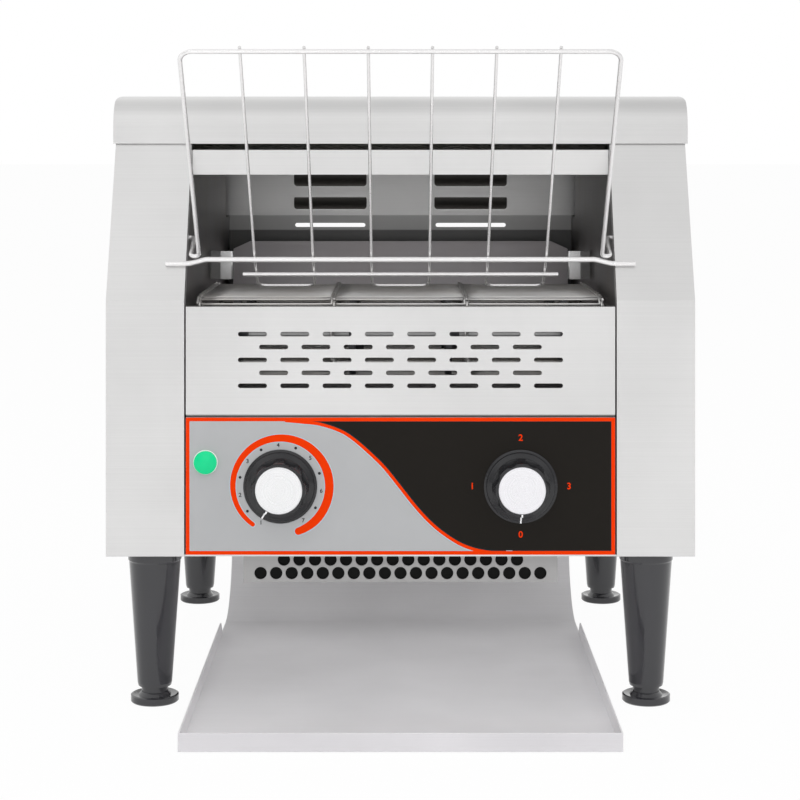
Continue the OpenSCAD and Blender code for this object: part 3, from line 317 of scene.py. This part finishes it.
STEEL = steel("stainless", (0.8, 0.796, 0.792), 0.34)
# The chute's front lip gets painted shade, a darker colour where the lamps in front light it most.
STEEL_CHUTE = worn_lip(steel("stainless_chute", (0.86, 0.85, 0.865), 0.5, metallic=0.05))
# The rear panel gets painted shade on its inner face and inside its louvres.
STEEL_REAR_SHADED = sooty(STEEL, "stainless_rear_shaded")
# Painted shade: the inner walls and the electrics shelf take a darker colour than the outer
# stainless, for the shade inside the chamber; the patches of heat tint are their own.
STEEL_IN_SHADED = steel("stainless_inside_shaded", (0.36, 0.355, 0.355), 0.42,
                 tint=(0.28, 0.22, 0.17), tint_amount=0.3)
STEEL_DEFLECT = steel("stainless_deflector", (0.55, 0.525, 0.54), 0.42,
                      tint=(0.45, 0.38, 0.36), tint_amount=0.25)
STEEL_GUARD = steel("stainless_guard", (0.42, 0.415, 0.415), 0.4, metallic=0.6)
STEEL_EAR = steel("stainless_ear", (0.93, 0.93, 0.93), 0.16, brushed=False, grain=0.02,
                  metallic=0.8)
REFLECT = steel("reflector_sheet", (0.72, 0.71, 0.69), 0.25,
                tint=(0.5, 0.38, 0.24), tint_amount=0.4)
WIRE = steel("bright_wire", (0.9, 0.89, 0.89), 0.22, brushed=False, grain=0.015, metallic=0.8)
# Painted shade: a near-black copy of the belt wire, given to every fourth wire, for the dark gaps
# between wires.
BELT_GAP_SHADE = steel("belt_wire_gap_shade", (0.13, 0.12, 0.11), 0.4, brushed=False, metallic=0.8,
                  grain=0.03)
BELT = steel("belt_wire", (0.8, 0.79, 0.78), 0.3, brushed=False,
             tint=(0.5, 0.42, 0.34), tint_amount=0.3, metallic=0.8, grain=0.03)
SHAFT = steel("ground_shaft", (0.5, 0.5, 0.5), 0.28)
GEAR = steel("dull_gear", (0.16, 0.16, 0.17), 0.45, brushed=False)
BRONZE = steel("bush_bronze", (0.6, 0.38, 0.16), 0.35, brushed=False)
MOTOR = steel("motor_case", (0.45, 0.46, 0.47), 0.4)
SCREW = steel("screw_zinc", (0.62, 0.63, 0.62), 0.28, brushed=False)
COIL = steel("heater_wire", (0.35, 0.3, 0.27), 0.45, brushed=False)

LEG = plastic("leg_black", (0.012, 0.012, 0.016), 0.2, 260, 0.02, coat=0.7)
principled(LEG)[1].inputs["Coat IOR"].default_value = 1.6
# Painted shade: near black for the sheet behind the guard's holes, which stands for the shade
# there.
HOLE_SHADE = plastic("guard_hole_shade", (0.006, 0.006, 0.006), 0.6, 1500, 0.3, spec=0.1)
BLACK = plastic("moulded_black", (0.03, 0.03, 0.032), 0.5, 1400, 0.3)
KNOB = plastic("knob_black", (0.01, 0.01, 0.012), 0.24, 500, 0.06, coat=0.15)
CERAMIC = plastic("ceramic", (0.78, 0.76, 0.7), 0.6, 800, 0.3)
LENS = plastic("lamp_green", (0.002, 0.55, 0.22), 0.2, 700, 0.05, coat=0.1, spec=0.25,
               mottle=0.05)
principled(LENS)[1].inputs["Emission Color"].default_value = (0.0, 0.75, 0.3, 1)
principled(LENS)[1].inputs["Emission Strength"].default_value = 0.12
GLASS = quartz("quartz_glass")
CAP_L = spun("knob_cap_left", (0.9, 0.9, 0.91), DIAL)
CAP_R = spun("knob_cap_right", (0.9, 0.89, 0.92), SELECTOR)

GREY_PRINT = ink("print_grey", (0.405, 0.41, 0.418))
BLACK_PRINT = ink("print_black", (0.0112, 0.0095, 0.0078), 0.45, 0.1, 0.04)
ORANGE_PRINT = ink("print_orange", (0.77, 0.037, 0.0), spec=0.05)
CYAN_PRINT = ink("print_pale_blue", (0.36, 0.53, 0.585))
TEAL_PRINT = ink("print_dark_teal", (0.004, 0.024, 0.028))
MARK_PRINT = ink("print_mark", (0.02, 0.02, 0.022))
WHITE_MARK = ink("pointer_white", (0.9, 0.9, 0.91), 0.45, 0.2)

LOOKS = {
    STEEL: ["side_panel_left", "side_panel_right", "top_cover", "hood_strip", "slotted_panel",
            "control_panel", "base_plate"],
    STEEL_REAR_SHADED: ["rear_panel"],
    STEEL_CHUTE: ["toast_chute"],
    STEEL_GUARD: ["chute_guard"],
    STEEL_IN_SHADED: ["inner_wall_left", "inner_wall_right", "electrics_shelf"],
    STEEL_DEFLECT: ["deflector"],
    STEEL_EAR: ["belt_guides"],
    REFLECT: ["upper_reflector", "lower_reflector"],
    WIRE: ["rack_frame", "rack_bars", "rack_slide_wires"],
    BELT: ["wire_belt"],
    SHAFT: ["front_shaft", "rear_shaft", "speed_spindle", "selector_spindle"],
    GEAR: ["front_sprockets", "rear_sprockets", "motor_sprocket", "drive_sprocket",
           "drive_chain"],
    BRONZE: ["shaft_bushes"],
    MOTOR: ["gear_motor"],
    SCREW: ["leg_screws", "rear_screws"],
    LEG: ["leg_front_left", "leg_front_right", "leg_rear_left", "leg_rear_right",
          "foot_front_left", "foot_front_right", "foot_rear_left", "foot_rear_right"],
    BLACK: ["fan_frame", "fan_rotor", "cable_gland", "speed_control", "selector_switch",
            "lamp_body"],
    KNOB: ["speed_knob", "selector_knob"],
    CERAMIC: ["upper_heater_caps", "lower_heater_caps", "terminal_block"],
    GREY_PRINT: ["control_overlay"],
    CAP_L: ["speed_knob_cap"],
    CAP_R: ["selector_knob_cap"],
    LENS: ["lamp_lens"],
    GLASS: ["upper_heaters", "lower_heaters"],
}
for m, names in LOOKS.items():
    for n in names:
        NODES[n].data.materials.clear()
        NODES[n].data.materials.append(m)


def soften(names, width):
    """Small rounded edges on folded sheets and moulded pieces."""
    for n in names:
        w = NODES[n].modifiers.new("weld", "WELD")
        w.merge_threshold = 2e-6
        b = NODES[n].modifiers.new("edge", "BEVEL")
        b.width = width
        b.segments = 2
        b.limit_method = "ANGLE"
        b.angle_limit = math.radians(35)
        b.harden_normals = True


soften(["side_panel_left", "side_panel_right", "control_panel", "hood_strip", "deflector",
        "toast_chute", "electrics_shelf", "belt_guides", "upper_reflector", "fan_frame",
        "terminal_block", "gear_motor", "cable_gland"], 0.0003)
soften(["speed_knob", "selector_knob"], 0.0004)

# ---------------------------------------------------------------- printed overlay
PX = 0.624 * MM              # a pixel of the photograph at the overlay
OVERLAY_Y = at(-0.5)         # the overlay's front face
LAYER = 0.03 * MM            # thickness of one printed layer
X_OUT, Z_LOW, Z_HIGH = 0.1339, 0.0994, 0.1849     # the overlay's edges
BORDER = 0.0023              # width of the orange border
SHADE_IN, SHADE_OUT = 0.0027, 0.0018              # the dark line along the border's inside


def spot(px, py):
    """Place on the overlay of a pixel of the photograph."""
    return ((px - 400.5) * PX, 0.185 - (py - 417.3) * PX * 1.0105)


def strip(name, left, right, level, mat, closed=False):
    """A printed band between two rows of points (x, z), level layers above the overlay."""
    y1 = OVERLAY_Y - level * LAYER
    y0 = y1 + LAYER
    n = len(left)
    verts = []
    for a, b in zip(left, right):
        verts += [(a[0], y1, a[1]), (b[0], y1, b[1]), (b[0], y0, b[1]), (a[0], y0, a[1])]
    faces = []
    for i in range(n if closed else n - 1):
        p, q = 4 * i, 4 * ((i + 1) % n)
        for k in range(4):
            faces.append((p + k, p + (k + 1) % 4, q + (k + 1) % 4, q + k))
    if not closed:
        faces += [(0, 1, 2, 3), (4 * n - 4, 4 * n - 3, 4 * n - 2, 4 * n - 1)]
    return mesh_object(name, verts, faces, [mat])


def smooth_path(pts, n):
    """Catmull-Rom curve through pts, in n steps."""
    p = [pts[0]] + list(pts) + [pts[-1]]
    out = []
    for i in range(n + 1):
        u = i / n * (len(pts) - 1)
        k = min(int(u), len(pts) - 2)
        t = u - k
        out.append(tuple(
            0.5 * (2 * b + (c - a) * t + (2 * a - 5 * b + 4 * c - d) * t * t
                   + (3 * b - a - 3 * c + d) * t ** 3)
            for a, b, c, d in zip(*p[k:k + 4])))
    return out


def beside(path, d):
    """The path moved d to its left."""
    out = []
    for i, p in enumerate(path):
        a, b = path[max(0, i - 1)], path[min(len(path) - 1, i + 1)]
        step = math.hypot(b[0] - a[0], b[1] - a[1])
        out.append((p[0] - (b[1] - a[1]) / step * d, p[1] + (b[0] - a[0]) / step * d))
    return out


def inside(path, pad=0.0):
    """The path kept within the overlay's edges, less pad."""
    return [(min(max(x, -X_OUT + pad), X_OUT - pad), min(max(z, Z_LOW + pad), Z_HIGH - pad))
            for x, z in path]


def rectangle(inset):
    x, lo, hi = X_OUT - inset, Z_LOW + inset, Z_HIGH - inset
    return [(-x, lo), (x, lo), (x, hi), (-x, hi)]


def frame_band(name, inset, width, level, mat):
    return strip(name, rectangle(inset), rectangle(inset + width), level, mat, closed=True)


def curve_band(name, d0, d1, pad, level, mat):
    """A band along the curve, between d0 and d1 beside it."""
    return strip(name, inside(beside(s_line, d0), pad), inside(beside(s_line, d1), pad), level, mat)


curve_px = [(285, 420.4), (302, 421.9), (320, 424), (341, 431), (355, 440), (369, 452),
            (383.5, 466), (397.5, 483), (415, 505), (431, 522), (446, 534), (461, 543),
            (476.5, 548.5), (492, 551), (506, 551.6)]
s_line = smooth_path([spot(*p) for p in curve_px], 90)

black_edge = inside(beside(s_line, 0.0006))
strip("print_black_field", black_edge, [(X_OUT - 0.001, z) for x, z in black_edge], 1, BLACK_PRINT)
frame_band("print_border_line", 0.0021, 0.0005, 2, CYAN_PRINT)


def shade_row(inset):
    """Round the black field's outer sides, inset from the overlay's edges."""
    x0, x1 = black_edge[0][0] + 0.004, black_edge[-1][0] + 0.004
    return [(x0, Z_HIGH - inset), (X_OUT - inset, Z_HIGH - inset),
            (X_OUT - inset, Z_LOW + inset), (x1, Z_LOW + inset)]


strip("print_border_shade", shade_row(SHADE_IN), shade_row(SHADE_OUT), 3, TEAL_PRINT)
frame_band("print_border", 0.0, BORDER, 5, ORANGE_PRINT)
curve_band("print_curve_pale", -0.0016, -0.0008, 0.001, 4, CYAN_PRINT)
curve_band("print_curve_shade", 0.0009, 0.0017, 0.001, 4, TEAL_PRINT)
curve_band("print_curve", -0.0010, 0.0010, 0.0005, 6, ORANGE_PRINT)


def polar(r, deg, c=DIAL):
    """Place at radius r round c, with the angle clockwise from straight down."""
    a = math.radians(deg)
    return (c[0] - r * math.sin(a), c[1] - r * math.cos(a))


ARC_FROM, ARC_TO, ARC_STEPS, ARC_END_STEPS = 36.0, 338.0, 120, 8
ARC_R = 0.0279                       # inner radius of the arc round the speed dial
ARC_THIN, ARC_THICK = 0.00285, 0.0054


def arc_band(name, grow, level, mat):
    """An arc that widens clockwise and has round ends, with grow more all round."""
    inner, outer = [], []
    for i in range(-ARC_END_STEPS, ARC_STEPS + ARC_END_STEPS + 1):
        t = min(max(i / ARC_STEPS, 0), 1)
        w = ARC_THIN + (ARC_THICK - ARC_THIN) * min(1, max(0, (t - 0.02) / 0.7))
        if t > 0.92:
            w -= 0.0008 * (t - 0.92) / 0.08
        deg = ARC_FROM + (ARC_TO - ARC_FROM) * t
        mid = ARC_R + w / 2
        half = w / 2 + grow
        past = max(-i, i - ARC_STEPS) / ARC_END_STEPS
        if past > 0:
            over = math.degrees(half * math.sin(past * math.pi / 2) / mid)
            deg += -over if i < 0 else over
            half *= max(0.02, math.cos(past * math.pi / 2))
        inner.append(polar(mid - half, deg))
        outer.append(polar(mid + half, deg))
    return strip(name, inner, outer, level, mat)


arc_band("print_arc_edge", 0.0005, 1, CYAN_PRINT)
arc_band("print_arc", 0.0, 2, ORANGE_PRINT)


def disc(name, c, r, level, mat, r0=1e-6, n=40):
    """A printed disc, or a ring where r0 is its inner radius."""
    turns = [2 * math.pi * i / n for i in range(n)]
    rows = [[(c[0] + q * math.cos(a), c[1] + q * math.sin(a)) for a in turns] for q in (r0, r)]
    return strip(name, *rows, level, mat, closed=True)


def numeral(name, text, x, z, size, mat, level=2):
    cu = bpy.data.curves.new(name, "FONT")
    cu.body = text
    cu.size = size
    cu.align_x = "CENTER"
    cu.align_y = "CENTER"
    cu.extrude = LAYER / 2
    cu.offset = size * 0.02
    ob = bpy.data.objects.new(name, cu)
    bpy.context.scene.collection.objects.link(ob)
    ob.data.materials.append(mat)
    ob.matrix_world = (Matrix.Translation((x, OVERLAY_Y - level * LAYER, z))
                       @ Matrix.Rotation(math.radians(90), 4, "X"))
    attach(ob, "casing")


for i in range(13):
    x, z = polar(0.0257, 28.0 + i * 24.85)
    if i % 2:
        disc(f"dial_dot_{i}", (x, z), 0.0009, 1, MARK_PRINT, n=20)
    else:
        numeral(f"dial_number_{i // 2 + 1}", str(i // 2 + 1), x, z, 0.0036, MARK_PRINT)
for i in range(4):
    x, z = polar(0.0302, 90 * i, SELECTOR)
    numeral(f"selector_number_{i}", str(i), x, z, 0.0056, ORANGE_PRINT)
disc("lamp_rim", (-0.1217, 0.157), 0.0077, 1, WHITE_MARK, 0.0060)

# The white pointer runs down each knob's flank, from the cap to the skirt's rim: radius and
# height above the front plane along it, in mm
POINTER = [(14.9, 17.28), (15.6, 17.28), (16.62, 16.5), (18.2, 5.1), (21.2, 3.3), (21.62, 1.9),
           (22.9, 1.72)]
POINTER_HALF, POINTER_T = 0.5, 0.25


def pointer(name, centre, deg, body):
    a = math.radians(deg)
    ux, uz, vx, vz = -math.sin(a), -math.cos(a), -math.cos(a), math.sin(a)
    verts = []
    for r, out in POINTER:
        for side in (-POINTER_HALF, POINTER_HALF):
            for deep in (0.0, POINTER_T):
                verts.append((centre[0] + ((r - deep) * ux + side * vx) * MM, at(-out + deep),
                              centre[1] + ((r - deep) * uz + side * vz) * MM))
    faces = []
    for p in range(0, 4 * len(POINTER) - 4, 4):
        for k0, k1 in ((0, 1), (1, 3), (3, 2), (2, 0)):
            faces.append((p + k0, p + k1, p + 4 + k1, p + 4 + k0))
    e = 4 * len(POINTER) - 4
    faces += [(0, 1, 3, 2), (e, e + 1, e + 3, e + 2)]
    mesh_object(name, verts, faces, [WHITE_MARK], body=body)


pointer("speed_pointer", DIAL, 30, "speed_dial")
pointer("selector_pointer", SELECTOR, 0, "selector_dial")

# ---------------------------------------------------------------- wire belt, in mm
BELT_PITCH, BELT_N = 6.8, 58
TEETH_N = 24
SHAFT_B = 33.0                                     # depth of the front shaft
BELT_R = TEETH_N * BELT_PITCH / (2 * math.pi)
SHAFT_Z = 257.5 - BELT_R
LOOP = BELT_N * BELT_PITCH
SHAFT_GAP = (LOOP - 2 * math.pi * BELT_R) / 2
HALF_TURN = math.pi * BELT_R
BELT_WIRE_R = 0.8
TONGUE_HALF, HOOK = 0.62, 1.6                      # half width and height of a bend round a wire
LANE_N = 8                                         # steps across a lane


def belt_at(s, lift=0.0):
    """(b, z) on the belt's path at length s, lift mm outside it."""
    s %= LOOP
    r = BELT_R + lift
    if s < SHAFT_GAP:
        b, z = s, r
    elif s < SHAFT_GAP + HALF_TURN:
        a = math.pi / 2 - (s - SHAFT_GAP) / BELT_R
        b, z = SHAFT_GAP + r * math.cos(a), r * math.sin(a)
    elif s < 2 * SHAFT_GAP + HALF_TURN:
        b, z = SHAFT_GAP - (s - SHAFT_GAP - HALF_TURN), -r
    else:
        a = -math.pi / 2 - (s - 2 * SHAFT_GAP - HALF_TURN) / BELT_R
        b, z = r * math.cos(a), r * math.sin(a)
    return SHAFT_B + b, SHAFT_Z + z


def belt_strand(i):
    """One wire: straight across each of three lanes, with a tongue between them and at both
    edges. Every other wire is set to one side, so that the tongues lie beside each other."""
    side = (i % 2) * 1.5
    pts = []

    def add(x, s, lift=0.0):
        b, z = belt_at(i * BELT_PITCH + s, lift)
        pts.append((x * MM, at(b), z * MM))

    def tongue(x):
        """Out to the next wire, round it and back, one wire's width apart."""
        x0, x1 = x - TONGUE_HALF, x + TONGUE_HALF
        for x_side, s, lift in (
                (x0, 0, 0), (x0, 0.6, 0.2), (x0, BELT_PITCH - 1.6, HOOK * 0.75),
                (x0, BELT_PITCH, HOOK), (x0 + 0.3, BELT_PITCH + 1.35, HOOK * 0.6),
                (x, BELT_PITCH + 1.75, 0), (x1 - 0.3, BELT_PITCH + 1.35, -HOOK * 0.6),
                (x1, BELT_PITCH, -HOOK), (x1, BELT_PITCH - 1.6, -HOOK * 0.75),
                (x1, 0.6, -0.2), (x1, 0, 0)):
            add(x_side, s, lift)

    for tongue_x, lane_x, step in ((-128.2, -124, 9.9), (-43.0, -41, 9.6), (41.3, 43.5, 9.9)):
        tongue(tongue_x + side)
        for k in range(1, LANE_N):
            add(lane_x + side + k * step, 0)
    tongue(127.0 + side * 0.8)
    return pts


# Every fourth wire takes the second, near-black material: painted shade for the dark gaps between
# wires.
belt = tube_object("wire_belt_strands", [belt_strand(i) for i in range(BELT_N)], BELT_WIRE_R * MM,
                   [BELT, BELT_GAP_SHADE], res=2)
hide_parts("wire_belt")

# ---------------------------------------------------------------- heater coils inside the tubes
COIL_TURNS, COIL_SIDES = 52, 8
COIL_R, COIL_END, COIL_WIRE_R = 3.2, 128.0, 0.35   # mm


def coil(b, z):
    """A helix across the width round depth b and height z, in mm."""
    n = COIL_TURNS * COIL_SIDES
    pts = []
    for i in range(n + 1):
        a = 2 * math.pi * i / COIL_SIDES
        pts.append(((-COIL_END + 2 * COIL_END * i / n) * MM, at(b + COIL_R * math.cos(a)),
                    (z + COIL_R * math.sin(a)) * MM))
    return pts


coil_paths = []
for node, pitch in (("upper_heaters", 36.0), ("lower_heaters", 20.0)):
    lo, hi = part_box(node)
    b = ((lo[1] + hi[1]) / 2 - FRONT) / MM
    z = (lo[2] + hi[2]) / 2 / MM
    for k in (-1, 0, 1):
        coil_paths.append(coil(b + k * pitch, z))
tube_object("heater_coils", coil_paths, COIL_WIRE_R * MM, [COIL], res=0)

# ---------------------------------------------------------------- small pieces, in mm
# The hood strip, folded upright from the cover's eave down to the mouth
HOOD_X = 134.7
HOOD_FOLD = [(55, 352), (46, 352), (48, 336), (52.5, 336), (52.5, 337), (48.9, 337), (47.1, 351),
             (55, 351)]
n = len(HOOD_FOLD)
hood_faces = [tuple(range(n)), tuple(range(2 * n - 1, n - 1, -1))]
hood_faces += [(i, (i + 1) % n, n + (i + 1) % n, n + i) for i in range(n)]
hood = mesh_object("hood_face", [(x * MM, at(b), z * MM) for x in (-HOOD_X, HOOD_X)
                                 for b, z in HOOD_FOLD], hood_faces, [STEEL])
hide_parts("hood_strip")

# Painted shade: a near-black sheet close behind the guard's holes, so that they look as dark as the
# shade behind the guard.
hole_shade_box = [(x * MM, at(b), z * MM) for x in (-100, 100) for b in (39.4, 39.9) for z in (74.6, 96.5)]
mesh_object("guard_hole_shade", hole_shade_box, [(0, 1, 3, 2), (4, 6, 7, 5), (0, 4, 5, 1), (2, 3, 7, 6),
                                   (0, 2, 6, 4), (1, 5, 7, 3)], [HOLE_SHADE])

# The rolled rim of an oval hole in each inner wall
for name, x in (("eyelet_left", -135.6), ("eyelet_right", 135.6)):
    turns = [k * math.pi / 16 for k in range(32)]
    ring = [(x * MM, at(60 + 5 * math.cos(a)), (319 + 5.4 * math.sin(a)) * MM) for a in turns]
    tube_object(name, [ring], 0.7 * MM, [STEEL_EAR], res=2, closed=True)

# ---------------------------------------------------------------- camera
scene = bpy.context.scene
cam = bpy.data.cameras.new("camera")
cam.lens = 89.1
cam.sensor_width = 36.0
cam.shift_x = -0.0006
cam.shift_y = -0.30875
cam.clip_start = 0.05
cam_ob = bpy.data.objects.new("camera", cam)
scene.collection.objects.link(cam_ob)
cam_ob.location = (0.0, at(-1236), 0.350)
cam_ob.rotation_euler = (math.radians(90), 0, 0)
scene.camera = cam_ob

# ---------------------------------------------------------------- world
SOFT = 0.56                  # the light that the studio sends on the object from all round
BACKGROUND = 1.0             # white behind the object
world = bpy.data.worlds.new("studio")
scene.world = world
world.use_nodes = True
nt = world.node_tree
nt.nodes.clear()
out = nt.nodes.new("ShaderNodeOutputWorld")
tc = nt.nodes.new("ShaderNodeTexCoord")
way_x, way_y, way_z = axes(nt, tc.outputs["Generated"])
lp = nt.nodes.new("ShaderNodeLightPath")


def field(strength):
    """A white background of the given strength."""
    b = nt.nodes.new("ShaderNodeBackground")
    b.inputs[0].default_value = (1, 1, 1, 1)
    if isinstance(strength, (int, float)):
        b.inputs[1].default_value = strength
    else:
        nt.links.new(strength, b.inputs[1])
    return b.outputs[0]


def blend(nt, fac, a, b):
    m = nt.nodes.new("ShaderNodeMixShader")
    nt.links.new(fac, m.inputs[0])
    nt.links.new(a, m.inputs[1])
    nt.links.new(b, m.inputs[2])
    return m.outputs[0]


def shiny(nt, lp):
    """1 for rays that a surface mirrors or lets through."""
    return maths(nt, "MAXIMUM", lp.outputs["Is Glossy Ray"], lp.outputs["Is Transmission Ray"])


# Reflections: white, with grey flags beside the front near the horizon and a darker zenith
turn = maths(nt, "ARCTAN2", way_x, maths(nt, "MULTIPLY", way_y, -1.0))
flags = ramp(nt, maths(nt, "MULTIPLY_ADD", turn, 0.5 / math.pi, 0.5),
             [(0.0, 0.55), (0.17, 0.55), (0.2, 1.0), (0.29, 1.0), (0.32, 0.3), (0.42, 0.3),
              (0.455, 1.0), (0.53, 1.0), (0.57, 0.6), (0.7, 0.5), (0.78, 0.85), (0.84, 1.0),
              (1.0, 1.0)])
slope = maths(nt, "MULTIPLY", maths(nt, "ABSOLUTE", way_z), 1.7)
near = maths(nt, "SUBTRACT", 1.0, maths(nt, "MINIMUM", slope, 1.0))
shade = maths(nt, "MULTIPLY", near, maths(nt, "SUBTRACT", 1.0, flags))
level = maths(nt, "SUBTRACT", 1.0, shade)
above = maths(nt, "MAXIMUM", maths(nt, "SUBTRACT", way_z, 0.62), 0.0)
zenith = maths(nt, "MULTIPLY", above, 0.75)
across = maths(nt, "MINIMUM", maths(nt, "MAXIMUM", way_x, -0.3), 0.3)
side = maths(nt, "MULTIPLY", across, -0.2)
total = maths(nt, "ADD", maths(nt, "SUBTRACT", level, zenith), side)
mirror = field(maths(nt, "MINIMUM", total, 1.0))
look = blend(nt, shiny(nt, lp), field(SOFT), mirror)
white = blend(nt, lp.outputs["Is Camera Ray"], look, field(BACKGROUND))
nt.links.new(white, out.inputs[0])

# ---------------------------------------------------------------- floor
FLOOR_CAMERA, FLOOR_MIRROR = 0.96, 0.5     # share of plain white that camera and mirror rays see
FLOOR_HALF = 60
floor_mat, nt, bs = new_mat("floor")
bs.inputs["Base Color"].default_value = (0.93, 0.93, 0.93, 1)
bs.inputs["Roughness"].default_value = 0.9
bs.inputs["Specular IOR Level"].default_value = 0.0
em = nt.nodes.new("ShaderNodeEmission")
em.inputs[0].default_value = (1, 1, 1, 1)
em.inputs[1].default_value = 1.0
lp = nt.nodes.new("ShaderNodeLightPath")
share = maths(nt, "MAXIMUM", maths(nt, "MULTIPLY", lp.outputs["Is Camera Ray"], FLOOR_CAMERA),
              maths(nt, "MULTIPLY", shiny(nt, lp), FLOOR_MIRROR))
surface = blend(nt, share, bs.outputs[0], em.outputs[0])
nt.links.new(surface, nt.nodes["Material Output"].inputs[0])
fl = bpy.data.meshes.new("floor")
fl.from_pydata([(-FLOOR_HALF, -FLOOR_HALF, 0), (FLOOR_HALF, -FLOOR_HALF, 0),
                (FLOOR_HALF, FLOOR_HALF, 0), (-FLOOR_HALF, FLOOR_HALF, 0)], [], [(0, 1, 2, 3)])
floor = bpy.data.objects.new("floor", fl)
scene.collection.objects.link(floor)
fl.materials.append(floor_mat)
floor.location.z = -0.0003


# ---------------------------------------------------------------- lamps
def lamp(name, loc, target, size, power):
    """An area lamp of size (width, height) that neither mirrors nor the camera see."""
    li = bpy.data.lights.new(name, "AREA")
    li.shape = "RECTANGLE"
    li.size, li.size_y = size
    li.energy = power
    ob = bpy.data.objects.new(name, li)
    scene.collection.objects.link(ob)
    ob.location = loc
    ob.rotation_euler = (Vector(target) - Vector(loc)).to_track_quat("-Z", "Y").to_euler()
    ob.visible_glossy = False
    ob.visible_camera = False


lamp("key", (-0.7, -1.5, 1.9), (0, 0, 0.15), (1.6, 1.2), 4)
lamp("fill", (1.5, -1.0, 1.1), (0, 0, 0.2), (1.0, 1.4), 2)
lamp("top", (0.0, -0.3, 2.0), (0, 0, 0.2), (1.6, 1.6), 7)
lamp("front", (0.0, -2.6, 0.95), (0, 0.1, 0.05), (1.8, 0.7), 26)
lamp("low", (0.0, -2.5, 0.42), (0, 0.1, 0.03), (1.8, 0.3), 3)
lamp("under", (0.0, at(140), 0.092), (0.0, at(140), 0.0), (0.24, 0.19), 0.048)

scene.view_settings.view_transform = "Standard"
